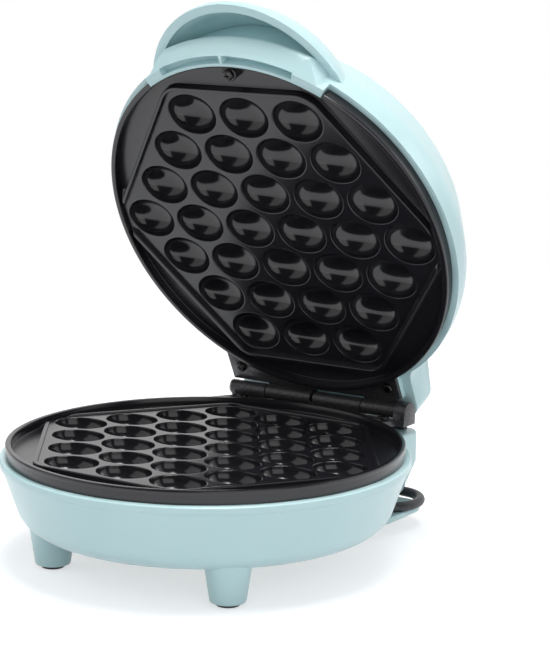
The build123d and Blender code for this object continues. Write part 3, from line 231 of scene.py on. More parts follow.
# shades mottle the colour, wander moves the roughness and relief is a fine bump
finishes = dict(
    aquaPlastic=dict(
        colour=(0.525, 0.745, 0.77),
        roughness=0.34,
        sockets={"Coat Weight": 0.25, "Coat Roughness": 0.18},
        shades=dict(scale=9, detail=2, dark=(0.51, 0.73, 0.757), light=(0.54, 0.76, 0.785)),
        wander=dict(scale=60, detail=4, low=0.3, high=0.38),
        relief=dict(scale=900, detail=3, strength=0.06, distance=0.0003),
    ),
    nonStickCoat=dict(
        colour=(0.012, 0.0115, 0.0125),
        roughness=0.3,
        sockets={"Specular IOR Level": 0.62},
        shades=dict(scale=1500, detail=2, dark=(0.009, 0.0085, 0.011), light=(0.0135, 0.0125, 0.016)),
        wander=dict(scale=90, detail=3, low=0.13, high=0.18, outsideCells=0.24),
        relief=dict(scale=1400, detail=3, strength=0.04, distance=0.0001),
    ),
    hingeCoat=dict(
        colour=(0.02, 0.02, 0.022),
        roughness=0.36,
        metallic=0.6,
        shades=dict(scale=1500, detail=3, dark=(0.035, 0.034, 0.037), light=(0.1, 0.098, 0.104)),
        wander=dict(scale=1100, detail=4, low=0.28, high=0.42),
        relief=dict(scale=1300, detail=3, strength=0.25, distance=0.0002),
    ),
    zincSteel=dict(
        colour=(0.36, 0.36, 0.37),
        roughness=0.35,
        metallic=1.0,
        shades=dict(scale=700, detail=4, dark=(0.3, 0.3, 0.31), light=(0.44, 0.44, 0.45)),
        wander=dict(scale=900, detail=4, low=0.25, high=0.45),
    ),
    blackenedSteel=dict(
        colour=(0.05, 0.05, 0.052),
        roughness=0.34,
        metallic=1.0,
        shades=dict(scale=900, detail=4, dark=(0.035, 0.035, 0.037), light=(0.09, 0.088, 0.088)),
        wander=dict(scale=1200, detail=4, low=0.25, high=0.45),
    ),
    heatedSheath=dict(
        colour=(0.2, 0.19, 0.18),
        roughness=0.5,
        metallic=1.0,
        shades=dict(scale=120, detail=4, dark=(0.12, 0.1, 0.09), light=(0.3, 0.29, 0.28)),
        relief=dict(scale=1600, detail=3, strength=0.2, distance=0.0002),
    ),
    aluminiumSheet=dict(
        colour=(0.7, 0.71, 0.73),
        roughness=0.32,
        metallic=1.0,
        wander=dict(scale=240, detail=4, stretch=(1, 18, 18), low=0.24, high=0.42),
        relief=dict(scale=240, detail=3, stretch=(1, 18, 18), strength=0.1, distance=0.0002),
    ),
    padRubber=dict(
        colour=(0.025, 0.026, 0.028),
        roughness=0.62,
        shades=dict(scale=500, detail=4, dark=(0.018, 0.018, 0.02), light=(0.035, 0.036, 0.038)),
        relief=dict(scale=2200, detail=3, strength=0.3, distance=0.0003),
    ),
    cordRubber=dict(
        colour=(0.03, 0.031, 0.033),
        roughness=0.42,
        shades=dict(scale=300, detail=3, dark=(0.022, 0.023, 0.025), light=(0.04, 0.041, 0.044)),
        wander=dict(scale=700, detail=4, low=0.34, high=0.5),
        relief=dict(scale=1800, detail=2, strength=0.15, distance=0.0002),
    ),
    bakelite=dict(
        colour=(0.1, 0.075, 0.06),
        roughness=0.5,
        shades=dict(scale=900, detail=4, dark=(0.07, 0.05, 0.04), light=(0.14, 0.11, 0.09)),
        relief=dict(scale=1800, detail=3, strength=0.2, distance=0.0002),
    ),
    wovenSleeve=dict(
        colour=(0.68, 0.66, 0.6),
        roughness=0.75,
        shades=dict(scale=900, woven=True, dark=(0.5, 0.48, 0.42), light=(0.76, 0.74, 0.68)),
        relief=dict(scale=900, woven=True, strength=0.5, distance=0.0002),
    ),
    neonGlass=dict(
        colour=(0.95, 0.75, 0.6),
        roughness=0.05,
        sockets={"Transmission Weight": 0.85},
        relief=dict(scale=400, detail=2, strength=0.05, distance=0.0002),
    ),
    redLens=lensFinish((0.6, 0.03, 0.02)),
    greenLens=lensFinish((0.03, 0.42, 0.1)),
    bladeBrass=dict(
        colour=(0.68, 0.52, 0.27),
        roughness=0.25,
        metallic=1.0,
        wander=dict(scale=300, detail=4, stretch=(1, 1, 20), low=0.18, high=0.36),
    ),
)
shadeStops = (0.35, 0.65)
noiseSpan = (0.3, 0.7)  # the part of the noise's range that is used


def patternOn(tree, scale, detail=3, stretch=(1, 1, 1), woven=False):
    place = tree.nodes.new("ShaderNodeTexCoord")
    grain = tree.nodes.new("ShaderNodeTexWave" if woven else "ShaderNodeTexNoise")
    grain.inputs["Scale"].default_value = scale
    if woven:
        tree.links.new(place.outputs["Object"], grain.inputs["Vector"])
        return grain.outputs["Fac"]
    grain.inputs["Detail"].default_value = detail
    drawn = tree.nodes.new("ShaderNodeMapping")
    drawn.inputs["Scale"].default_value = stretch
    tree.links.new(place.outputs["Object"], drawn.inputs["Vector"])
    tree.links.new(drawn.outputs["Vector"], grain.inputs["Vector"])
    return grain.outputs["Fac"]


def addShades(tree, skin, dark, light, **grain):
    ramp = tree.nodes.new("ShaderNodeValToRGB")
    for stop, position, colour in zip(ramp.color_ramp.elements, shadeStops, (dark, light)):
        stop.position, stop.color = position, (*colour, 1)
    feed(tree, ramp.inputs["Fac"], patternOn(tree, **grain))
    feed(tree, skin.inputs["Base Color"], ramp.outputs["Color"])


def addWander(tree, skin, low, high, outsideCells=None, **grain):
    rough = remapped(tree, patternOn(tree, **grain), low, high, *noiseSpan)
    if outsideCells is not None:
        inCell = tree.nodes.new("ShaderNodeAttribute")
        inCell.attribute_name = "inCell"
        rough = remapped(tree, inCell.outputs["Fac"], outsideCells, rough)
    feed(tree, skin.inputs["Roughness"], rough)


def addRelief(tree, skin, strength, distance, **grain):
    bump = tree.nodes.new("ShaderNodeBump")
    bump.inputs["Strength"].default_value = strength
    bump.inputs["Distance"].default_value = distance
    feed(tree, bump.inputs["Height"], patternOn(tree, **grain))
    feed(tree, skin.inputs["Normal"], bump.outputs["Normal"])


def makeFinish(name, made):
    look = bpy.data.materials.new(name)
    look.use_nodes = True
    tree = look.node_tree
    skin = tree.nodes["Principled BSDF"]
    skin.inputs["Base Color"].default_value = (*made["colour"], 1)
    skin.inputs["Roughness"].default_value = made["roughness"]
    skin.inputs["Metallic"].default_value = made.get("metallic", 0.0)
    for label, amount in made.get("sockets", {}).items():
        skin.inputs[label].default_value = amount
    for part, add in (("shades", addShades), ("wander", addWander), ("relief", addRelief)):
        if part in made:
            add(tree, skin, **made[part])
    return look


looks = {name: makeFinish(name, made) for name, made in finishes.items()}
print("finishes are made")


record = frame["record"]
bodyOf = {node: body for body, members in record["behaviour"]["bodies"].items() for node in members}


def addPiece(name, mesh, finish, *nodes, sharpAngle=32):
    mesh.name = name
    mesh.materials.clear()
    mesh.materials.append(looks[finish])
    mesh.shade_smooth()
    mesh.set_sharp_from_angle(angle=math.radians(sharpAngle))
    piece = newObject(name, mesh)
    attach(piece, bodyOf[nodes[0]])
    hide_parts(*nodes)


def takeMesh(holder):
    graph = bpy.context.evaluated_depsgraph_get()
    made = bpy.data.meshes.new_from_object(holder.evaluated_get(graph))
    holder.modifiers.clear()
    bpy.data.objects.remove(holder)
    return made


def settled(mesh, *modifiers):
    holder = newObject("bench", mesh)
    for kind, settings in modifiers:
        modifier = holder.modifiers.new(kind, kind)
        for key, value in settings.items():
            setattr(modifier, key, value)
    return takeMesh(holder)


rounding = dict(
    weld=2e-6,
    flat=0.05,  # faces that turn by fewer degrees are merged first
    fromAngle=38,
    segments=2,
    faceWeight=80,
)


def roundedNode(node, edge):
    mesh = frame["nodes"][node].data.copy()
    bm = bmesh.new()
    bm.from_mesh(mesh)
    bmesh.ops.remove_doubles(bm, verts=bm.verts, dist=rounding["weld"])
    flat = math.radians(rounding["flat"])
    bmesh.ops.dissolve_limit(bm, angle_limit=flat, verts=bm.verts, edges=bm.edges)
    bm.to_mesh(mesh)
    bm.free()
    if not edge:
        return mesh
    bevel = dict(
        width=edge,
        segments=rounding["segments"],
        limit_method="ANGLE",
        angle_limit=math.radians(rounding["fromAngle"]),
        use_clamp_overlap=True,
    )
    evenShade = dict(keep_sharp=True, weight=rounding["faceWeight"])
    return settled(mesh, ("BEVEL", bevel), ("WEIGHTED_NORMAL", evenShade))


# the finish of each carried piece and how wide its edges are rounded, in metres
softEdges = dict(
    base_shell=("aquaPlastic", 0.0004),
    lid_shell=("aquaPlastic", 0.0004),
    handle_liner=("aquaPlastic", 0.0004),
    cord_wrap_tray=("aquaPlastic", 0.0004),
    rubber_feet=("padRubber", 0.0),
    base_hinge_bracket=("hingeCoat", 0.0003),
    lid_hinge_bracket=("hingeCoat", 0.0003),
    hinge_pin=("blackenedSteel", 0.0003),
    pin_clip=("zincSteel", 0.0001),
    terminal_screws=("bladeBrass", 0.0),
    lower_heating_element=("heatedSheath", 0.0),
    upper_heating_element=("heatedSheath", 0.0),
    lower_reflector=("aluminiumSheet", 0.0),
    upper_reflector=("aluminiumSheet", 0.0),
    thermostat=("bakelite", 0.0003),
    thermostat_clip=("zincSteel", 0.0001),
    terminal_block=("bakelite", 0.0004),
    cord_clamp=("bakelite", 0.0004),
    lamp_holder=("bakelite", 0.0003),
    thermal_fuse=("wovenSleeve", 0.0004),
    fuse_clip=("zincSteel", 0.0001),
    neon_lamps=("neonGlass", 0.0),
    power_lamp_lens=("redLens", 0.0),
    ready_lamp_lens=("greenLens", 0.0),
    base_wires=("wovenSleeve", 0.0),
    lid_wires=("wovenSleeve", 0.0),
    supply_lead=("cordRubber", 0.0),
    cord_gland=("cordRubber", 0.0004),
    plug_body=("cordRubber", 0.001),
    plug_blades=("bladeBrass", 0.0002),
)


def camelName(node):
    first, *rest = node.split("_")
    return first + "".join(word.title() for word in rest)


for node, (finish, edge) in softEdges.items():
    addPiece(camelName(node), roundedNode(node, edge), finish, node)
print("carried pieces are finished")


# cooking plates: oval cells in rows, with a ridge and a channel round them
plateSizes = dict(
    finish="nonStickCoat",
    rows=(3, 4, 5, 6, 5, 4, 3),
    pitchX=31.9,
    pitchY=22.45,
    cellLength=29.2,
    cellWidth=23.4,
    cellDepth=9.5,
    mouthRound=0.55,
    flange=0.3,  # a cell's mouth runs out flat by this much, to meet the field
    cellSteps=56,  # sides of a cell's mouth
    cellLevels=18,  # rings from its mouth to its bottom
    flatLevel=1.0,  # the flange ends at this ring
    lipLevel=5.0,  # and the rounded lip at this one
    cellWeld=0.02,
    turns=360,  # steps round the plate
    weld=0.008,
    sliver=0.004,
    sharpAngle=40,
    slab=5.0,
    wall=2.4,  # metal under and round each cell
    lugRows=5 / 3,  # from the middle to a screw's lug
)
# the ridge and the channel, with curves as (how far out, share of the height)
edgeSizes = dict(
    ridgeIn=2.7,
    ridgeOut=5.0,
    ridgeCorner=12.0,
    ridgeEnd=95.0,
    ridgeFull=1.6,  # a ridge narrower than this is lower too
    ridgeCurve=((0, 0), (0.05, 0.55), (0.2, 0.87), (0.5, 1)),
    channelEnd=96.7,
    channelDrop=2.2,
    channelFull=3,  # and a channel narrower than this is shallower
    bankCurve=((0, 0), (0.05, 0.75), (0.22, 0.93)),
    bankFoot=0.25,
    bankSlope=0.4,
    wallCurve=((96.7, 1), (96.88, 0.93), (96.95, 0.75), (97.0, 0)),
    # the rim by radius and depth below its top, then the outer edge by radius and height
    rimCurve=((97.15, 0.55), (97.3, 0.18), (97.65, 0), (99.4, 0), (99.82, 0.18), (100, 0.6)),
    outerEdge=((100, 0.55), (99.9, 0.42), (99.4, 0.4), (99.4, -4.3), (98.5, -4.3), (98.5, -5)),
    cutFrom=97.15,  # where a rim is cut back, what lies outside this radius
    cutShare=0.1,  # keeps this share of its width
)
# the underside from the edge to the middle: the ring that holds the heating element, and its groove
underSizes = dict(
    outerStart=98.5,
    outerStep=1.55,
    outerSteps=19,
    ringRadius=63.0,
    ringHalf=4.5,
    ringDrop=15.5,
    ringSlant=0.02,
    tube=3.4,
    across=(3.4, 3.0, 2.2, 1.1, 0, -1.1, -2.2, -3.0, -3.4),
    innerStart=57,
    innerStep=1.9,
    innerSteps=29,
    middle=(1.2, 0),
)
postSizes = dict(sides=28, bevel=0.4)
screwLug = dict(radius=4.6, bottom=-18, top=-6)
clipLug = dict(radius=3.6, bottom=-13, top=-4.6)
lowerKind = dict(
    field=58.9,
    ridge=0.9,
    rim=2.6,
    rimCut=0,
    posts=[dict(x=-14, y=90, **clipLug), dict(x=14, y=90, **clipLug)],
)
upperKind = dict(
    field=64.1,
    ridge=2.5,
    rim=2.3,
    rimCut=31.9,  # degrees to each side of the front
    posts=[dict(x=0, y=93.5, radius=4, bottom=-2.6, top=2.3)],
)


def newTree(name, sizes):
    tree = bpy.data.node_groups.new(name, "GeometryNodeTree")
    tree.interface.new_socket("Geometry", in_out="INPUT", socket_type="NodeSocketGeometry")
    for label, value in sizes.items():
        kind = "NodeSocketInt" if isinstance(value, int) else "NodeSocketFloat"
        tree.interface.new_socket(label, in_out="INPUT", socket_type=kind).default_value = value
    tree.interface.new_socket("Finish", in_out="INPUT", socket_type="NodeSocketMaterial")
    tree.interface.new_socket("Geometry", in_out="OUTPUT", socket_type="NodeSocketGeometry")
    return tree, tree.nodes.new("NodeGroupInput"), tree.nodes.new("NodeGroupOutput")


def joinXYZ(tree, *values):
    node = tree.nodes.new("ShaderNodeCombineXYZ")
    for socket, value in zip(node.inputs, values):
        feed(tree, socket, value)
    return node.outputs[0]


def step(tree, kind, source=None, target=0, **values):
    node = tree.nodes.new(kind)
    for key, value in values.items():
        node.inputs[key].default_value = value
    if source is not None:
        tree.links.new(source, node.inputs[target])
    return node


def splitLoose(tree, geometry):
    # loose points are places, and what has edges is a shape
    neighbours = tree.nodes.new("GeometryNodeInputMeshVertexNeighbors")
    loose = sums(tree, "LESS_THAN", neighbours.outputs["Vertex Count"], 0.5)
    split = step(tree, "GeometryNodeSeparateGeometry", geometry)
    split.domain = "POINT"
    tree.links.new(loose, split.inputs["Selection"])
    return split.outputs["Selection"], split.outputs["Inverted"]


def endTree(tree, start, end, geometry):
    plain = step(tree, "GeometryNodeRealizeInstances", geometry)
    finished = step(tree, "GeometryNodeSetMaterial", plain.outputs[0])
    tree.links.new(start.outputs["Finish"], finished.inputs["Material"])
    tree.links.new(finished.outputs[0], end.inputs[0])
    return tree


def runTree(tree, mesh, finish, sizes):
    holder = newObject("bench", mesh)
    modifier = holder.modifiers.new("tree", "NODES")
    modifier.node_group = tree
    values = dict(sizes, Finish=looks[finish])
    for item in tree.interface.items_tree:
        if item.in_out == "INPUT" and item.name in values:
            modifier[item.identifier] = values[item.name]
    return takeMesh(holder)


cellInputs = {
    "Cell Length": plateSizes["cellLength"],
    "Cell Width": plateSizes["cellWidth"],
    "Cell Depth": plateSizes["cellDepth"],
    "Mouth Round": plateSizes["mouthRound"],
    "Mouth Steps": plateSizes["cellSteps"],
    "Levels": plateSizes["cellLevels"],
}


def cellTree():
    tree, start, end = newTree("cellField", cellInputs)
    link = tree.links.new
    flange, flatEnd, lipEnd = plateSizes["flange"], plateSizes["flatLevel"], plateSizes["lipLevel"]
    halfLength = sums(tree, "MULTIPLY", start.outputs["Cell Length"], 0.5)
    ratio = sums(tree, "DIVIDE", start.outputs["Cell Width"], start.outputs["Cell Length"])
    mouthRound, depth = start.outputs["Mouth Round"], start.outputs["Cell Depth"]
    bowlHalf = sums(tree, "SUBTRACT", halfLength, sums(tree, "MULTIPLY", mouthRound, 0.5))
    mouth = sums(tree, "ADD", sums(tree, "ADD", bowlHalf, mouthRound), flange)

    # the field: its outline filled, with an oval hole at each cell's centre
    centres, rim = splitLoose(tree, start.outputs["Geometry"])
    outline = step(tree, "GeometryNodeMeshToCurve", rim)
    mouthSteps = start.outputs["Mouth Steps"]
    ring = step(tree, "GeometryNodeCurvePrimitiveCircle", mouthSteps, "Resolution", Radius=1.0)
    oval = step(tree, "GeometryNodeTransform", ring.outputs["Curve"])
    link(joinXYZ(tree, mouth, sums(tree, "MULTIPLY", mouth, ratio), 1.0), oval.inputs["Scale"])
    mouths = step(tree, "GeometryNodeInstanceOnPoints", centres)
    link(oval.outputs[0], mouths.inputs["Instance"])
    mouthCurves = step(tree, "GeometryNodeRealizeInstances", mouths.outputs[0])
    loops = step(tree, "GeometryNodeJoinGeometry", outline.outputs[0])
    link(mouthCurves.outputs[0], loops.inputs[0])
    field = step(tree, "GeometryNodeFillCurve", loops.outputs[0])

    # one bowl: a grid wrapped round, from its rounded mouth down to its bottom
    levels = start.outputs["Levels"]
    grid = step(tree, "GeometryNodeMeshGrid", **{"Size X": 1.0, "Size Y": 1.0})
    link(sums(tree, "ADD", mouthSteps, 1), grid.inputs["Vertices X"])
    link(sums(tree, "ADD", levels, 1), grid.inputs["Vertices Y"])
    place = tree.nodes.new("GeometryNodeInputPosition")
    parts = step(tree, "ShaderNodeSeparateXYZ", place.outputs[0])
    around = sums(tree, "MULTIPLY", sums(tree, "ADD", parts.outputs["X"], 0.5), 2 * math.pi)
    level = sums(tree, "MULTIPLY", sums(tree, "ADD", parts.outputs["Y"], 0.5), levels)

    def share(low, high):
        done, span = sums(tree, "SUBTRACT", level, low), sums(tree, "SUBTRACT", high, low)
        run = sums(tree, "DIVIDE", done, span)
        return sums(tree, "MINIMUM", sums(tree, "MAXIMUM", run, 0.0), 1.0)

    lip = sums(tree, "MULTIPLY", share(flatEnd, lipEnd), math.pi / 2)
    fall = sums(tree, "MULTIPLY", share(lipEnd, levels), math.pi / 2)
    flat = sums(tree, "MULTIPLY", sums(tree, "SUBTRACT", 1.0, share(0.0, flatEnd)), flange)
    lipIn = sums(tree, "MULTIPLY", mouthRound, sums(tree, "SUBTRACT", 1.0, sums(tree, "SINE", lip)))
    sunk = sums(tree, "SUBTRACT", 1.0, sums(tree, "COSINE", lip))
    lipDown = sums(tree, "MULTIPLY", mouthRound, sunk)
    reach = sums(tree, "MULTIPLY", sums(tree, "ADD", bowlHalf, lipIn), sums(tree, "COSINE", fall))
    reach = sums(tree, "ADD", reach, flat)
    bowlDeep = sums(tree, "SUBTRACT", depth, mouthRound)
    bowlDown = sums(tree, "MULTIPLY", bowlDeep, sums(tree, "SINE", fall))
    height = sums(tree, "MULTIPLY", sums(tree, "ADD", lipDown, bowlDown), -1.0)
    bowl = step(tree, "GeometryNodeSetPosition", grid.outputs["Mesh"])
    bowlX = sums(tree, "MULTIPLY", reach, sums(tree, "COSINE", around))
    bowlY = sums(tree, "MULTIPLY", sums(tree, "MULTIPLY", reach, ratio), sums(tree, "SINE", around))
    link(joinXYZ(tree, bowlX, bowlY, height), bowl.inputs["Position"])

    # the coat is glossier in the bowls, which it knows by this mark
    marked = step(tree, "GeometryNodeStoreNamedAttribute", bowl.outputs[0], Name="inCell", Value=1.0)
    bowls = step(tree, "GeometryNodeInstanceOnPoints", centres)
    link(marked.outputs[0], bowls.inputs["Instance"])
    bowlMeshes = step(tree, "GeometryNodeRealizeInstances", bowls.outputs[0])
    whole = step(tree, "GeometryNodeJoinGeometry", field.outputs[0])
    link(bowlMeshes.outputs[0], whole.inputs[0])
    weld = plateSizes["cellWeld"]
    closed = step(tree, "GeometryNodeMergeByDistance", whole.outputs[0], Distance=weld)
    return endTree(tree, start, end, closed.outputs[0])


middleRow = len(plateSizes["rows"]) // 2


def cellCentres():
    pitchX, pitchY = plateSizes["pitchX"], plateSizes["pitchY"]
    centres = []
    for row, count in enumerate(plateSizes["rows"]):
        centres += [((k - (count - 1) / 2) * pitchX, (row - middleRow) * pitchY) for k in range(count)]
    return centres


def hexReach(angle, outset, corner):
    # how far the rounded hexagon reaches from the middle; its four quarters are alike
    c, s = abs(math.cos(angle)), abs(math.sin(angle))
    halfX, pitchY = plateSizes["pitchX"] / 2, plateSizes["pitchY"]
    side = math.hypot(halfX, pitchY)
    nx, ny = pitchY / side, halfX / side
    reach = math.hypot(plateSizes["cellLength"] / 2 * nx, plateSizes["cellWidth"] / 2 * ny)
    slant = plateSizes["pitchX"] * nx + middleRow * pitchY * ny + reach + outset
    flat = middleRow * pitchY + plateSizes["cellWidth"] / 2 + outset
    midX, midY = (slant - corner - (flat - corner) * ny) / nx, flat - corner
    turn = math.atan2(s, c)
    if turn < math.atan2(midY + corner * ny, midX + corner * nx):
        return slant / (c * nx + s * ny)
    if turn > math.atan2(midY + corner, midX):
        return flat / s
    along = c * midX + s * midY
    return along + math.sqrt(along * along - midX * midX - midY * midY + corner * corner)


def fieldEnd(angle):
    return min(hexReach(angle, edgeSizes["ridgeIn"], edgeSizes["ridgeCorner"]), edgeSizes["ridgeEnd"])


def edgeProfile(angle, kind):
    size = edgeSizes
    outCorner = size["ridgeCorner"] + size["ridgeOut"] - size["ridgeIn"]
    reach = hexReach(angle, size["ridgeOut"], outCorner)
    inner, outer, bank = fieldEnd(angle), min(reach, size["ridgeEnd"]), min(reach, size["channelEnd"])
    wide = min(1, (outer - inner) / size["ridgeFull"])
    rise = kind["ridge"] * wide
    deep = min(1, (size["channelEnd"] - bank) / size["channelFull"])
    drop, rim = size["channelDrop"] * deep, kind["rim"]
    profile = [(inner + out * wide, rise * share) for out, share in size["ridgeCurve"]]
    profile += [(outer - out * wide, rise * share) for out, share in reversed(size["ridgeCurve"])]
    profile += [(bank + out, -drop * share) for out, share in size["bankCurve"]]
    profile += [(bank + size["bankFoot"] + size["bankSlope"] * deep, -drop)]
    profile += [(radius, -drop * share) for radius, share in size["wallCurve"]]
    profile += [(radius, rim - below) for radius, below in size["rimCurve"]]
    profile += size["outerEdge"]
    if abs(math.degrees(angle) - 90) < kind["rimCut"]:
        start, keep = size["cutFrom"], size["cutShare"]
        profile = [(r if r < start else start + (r - start) * keep, z) for r, z in profile]
    return profile


def undersideDrop(x, y, centres):
    size, deepest = plateSizes, 0
    longHalf, shortHalf = size["cellLength"] / 2 + size["wall"], size["cellWidth"] / 2 + size["wall"]
    for cx, cy in centres:
        inside = 1 - ((x - cx) / longHalf) ** 2 - ((y - cy) / shortHalf) ** 2
        if inside > 0:
            deepest = max(deepest, (size["cellDepth"] + size["wall"]) * math.sqrt(inside))
    return max(size["slab"], deepest)


def undersideRadii():
    size = underSizes
    ring, half, slant = size["ringRadius"], size["ringHalf"], size["ringSlant"]
    radii = [size["outerStart"] - size["outerStep"] * k for k in range(1, size["outerSteps"] + 1)]
    radii += [ring + half + slant, ring + half]
    radii += [ring + across for across in size["across"]]
    radii += [ring - half, ring - half - slant]
    radii += [size["innerStart"] - size["innerStep"] * k for k in range(size["innerSteps"])]
    return radii + list(size["middle"])


def addSkin(bm, rows):
    # faces between each row of points and the next, and from the last row to the first
    for a, b in zip(rows, rows[1:] + rows[:1]):
        for k in range(len(a) - 1):
            bm.faces.new((a[k], a[k + 1], b[k + 1], b[k]))


def addPost(bm, x, y, radius, bottom, top):
    sides, bevel = postSizes["sides"], postSizes["bevel"]
    section = [(radius, bottom), (radius, top)]
    if top > 0:  # it stands above the field, so its top edge shows
        section = [(radius, bottom), (radius, top - bevel), (radius - bevel, top)]
    turns = [2 * math.pi * k / sides for k in range(sides)]
    loops = []
    for r, z in section:
        loops.append([bm.verts.new((x + r * math.cos(a), y + r * math.sin(a), z)) for a in turns])
    for low, high in zip(loops, loops[1:]):
        for k in range(sides):
            bm.faces.new((low[k], low[(k + 1) % sides], high[(k + 1) % sides], high[k]))
    bm.faces.new(loops[0][::-1])
    bm.faces.new(loops[-1])


def plateMesh(kind):
    size, under, centres = plateSizes, underSizes, cellCentres()
    angles = [2 * math.pi * k / size["turns"] for k in range(size["turns"])]
    rim = [(fieldEnd(a) * math.cos(a), fieldEnd(a) * math.sin(a), 0) for a in angles]
    loop = [(k, (k + 1) % len(rim)) for k in range(len(rim))]
    start = bpy.data.meshes.new("fieldStart")
    start.from_pydata(rim + [(x, y, 0) for x, y in centres], loop, [])
    bm = bmesh.new()
    bm.from_mesh(runTree(cellTree(), start, size["finish"], cellInputs))

    # from the field over the ridge, channel and rim, then back along the underside
    ring, half, low, tube = under["ringRadius"], under["ringHalf"], under["ringDrop"], under["tube"]
    rows = []
    for angle in angles:
        c, s = math.cos(angle), math.sin(angle)
        row = [(r * c, r * s, z) for r, z in edgeProfile(angle, kind)]
        for r in undersideRadii():
            away = abs(r - ring)
            if away <= tube:
                z = low - math.sqrt(tube**2 - away**2)
            else:
                z = low if away <= half else undersideDrop(r * c, r * s, centres)
            row.append((r * c, r * s, -z))
        rows.append([bm.verts.new(point) for point in row])
    addSkin(bm, rows)
    bmesh.ops.remove_doubles(bm, verts=bm.verts, dist=size["weld"])
    bmesh.ops.dissolve_degenerate(bm, dist=size["sliver"], edges=bm.edges)

    lugY = size["pitchY"] * size["lugRows"]
    for x in (-size["pitchX"], size["pitchX"]):
        for y in (-lugY, lugY):
            addPost(bm, x, y, **screwLug)
    for post in kind["posts"]:
        addPost(bm, **post)
    mesh = bpy.data.meshes.new("cookingPlate")
    bm.to_mesh(mesh)
    bm.free()
    return mesh


def makePlates():
    finish, sharp = plateSizes["finish"], plateSizes["sharpAngle"]
    lower = plateMesh(lowerKind)
    lower.transform(atPlate @ Matrix.Translation((0, 0, lowerKind["field"])))
    addPiece("lowerPlate", lower, finish, "lower_plate", sharpAngle=sharp)
    upper = plateMesh(upperKind)
    faceDown = Matrix.Rotation(math.pi, 4, "X")
    upper.transform(atLid @ Matrix.Translation((0, 0, upperKind["field"])) @ faceDown)
    addPiece("upperPlate", upper, finish, "upper_plate", sharpAngle=sharp)


makePlates()
print("cooking plates are cast")


# pan head screws: a small tree sets one form at every place
screwSizes = dict(
    headRadius=2.9,
    headHeight=1.8,
    headRound=1.1,
    roundSteps=6,
    seatBevel=0.08,
    crown=0.12,
    coreRadius=1.45,
    coreSides=24,
    coreOverlap=0.3,  # how far the core runs up into the head
    crossLong=1.6,
    crossWide=0.42,
    crossDeep=0.95,
    crossTaper=0.8,
    crossClear=1,
    sides=40,
    weld=1e-5,
    sharpAngle=35,
)
plateLugs = [(x, y) for x in (-31.9, 31.9) for y in (-37.417, 37.417)]
baseScrew = dict(look="zincSteel", headUp=False, on=atPlate)
screwSets = dict(
    lower_plate_screws=dict(baseScrew, places=plateLugs, seat=28.0, length=20.0),
    tray_screws=dict(baseScrew, places=[(-22, 108), (8, 108)], seat=13.2, length=12.0),
    thermostat_screws=dict(baseScrew, places=[(-14, 90), (14, 90)], seat=44.9, length=7.0),
    base_hinge_screws=dict(
        places=[(-46, 99.5), (44, 99.5)],
        seat=59.43,
        length=14.0,
        look="blackenedSteel",
        headUp=True,
        on=atPlate,
    ),
    lid_hinge_screws=dict(
        places=[(-50, 94.5), (44, 94.5)],
        seat=64.7,
        length=12.0,
        look="blackenedSteel",
        headUp=False,
        on=atLid,
    ),
    upper_plate_screw=dict(
        places=[(0, -93.5)],
        seat=61.78,
        length=16.0,
        look="blackenedSteel",
        headUp=False,
        on=atLid,
    ),
)


def screwTree():
    tree, start, end = newTree("screwSet", {"Core Radius": screwSizes["coreRadius"], "Length": 12.0})
    link = tree.links.new
    length, overlap = start.outputs["Length"], screwSizes["coreOverlap"]
    places, head = splitLoose(tree, start.outputs["Geometry"])
    coreRadius = start.outputs["Core Radius"]
    core = step(tree, "GeometryNodeMeshCylinder", coreRadius, "Radius", Vertices=screwSizes["coreSides"])
    link(sums(tree, "ADD", length, overlap), core.inputs["Depth"])
    hung = step(tree, "GeometryNodeTransform", core.outputs["Mesh"])
    middle = sums(tree, "MULTIPLY", sums(tree, "SUBTRACT", overlap, length), 0.5)
    link(joinXYZ(tree, 0.0, 0.0, middle), hung.inputs["Translation"])
    whole = step(tree, "GeometryNodeJoinGeometry", head)
    link(hung.outputs[0], whole.inputs[0])
    sets = step(tree, "GeometryNodeInstanceOnPoints", places)
    link(whole.outputs[0], sets.inputs["Instance"])
    return endTree(tree, start, end, sets.outputs[0])


def lathe(profile, sides):
    mesh = bpy.data.meshes.new("turned")
    bm = bmesh.new()
    rows = []
    for k in range(sides):
        c, s = math.cos(2 * math.pi * k / sides), math.sin(2 * math.pi * k / sides)
        rows.append([bm.verts.new((r * c, r * s, z)) for r, z in profile])
    addSkin(bm, rows)
    bmesh.ops.remove_doubles(bm, verts=bm.verts, dist=screwSizes["weld"])
    bmesh.ops.recalc_face_normals(bm, faces=bm.faces)
    bm.to_mesh(mesh)
    bm.free()
    return mesh


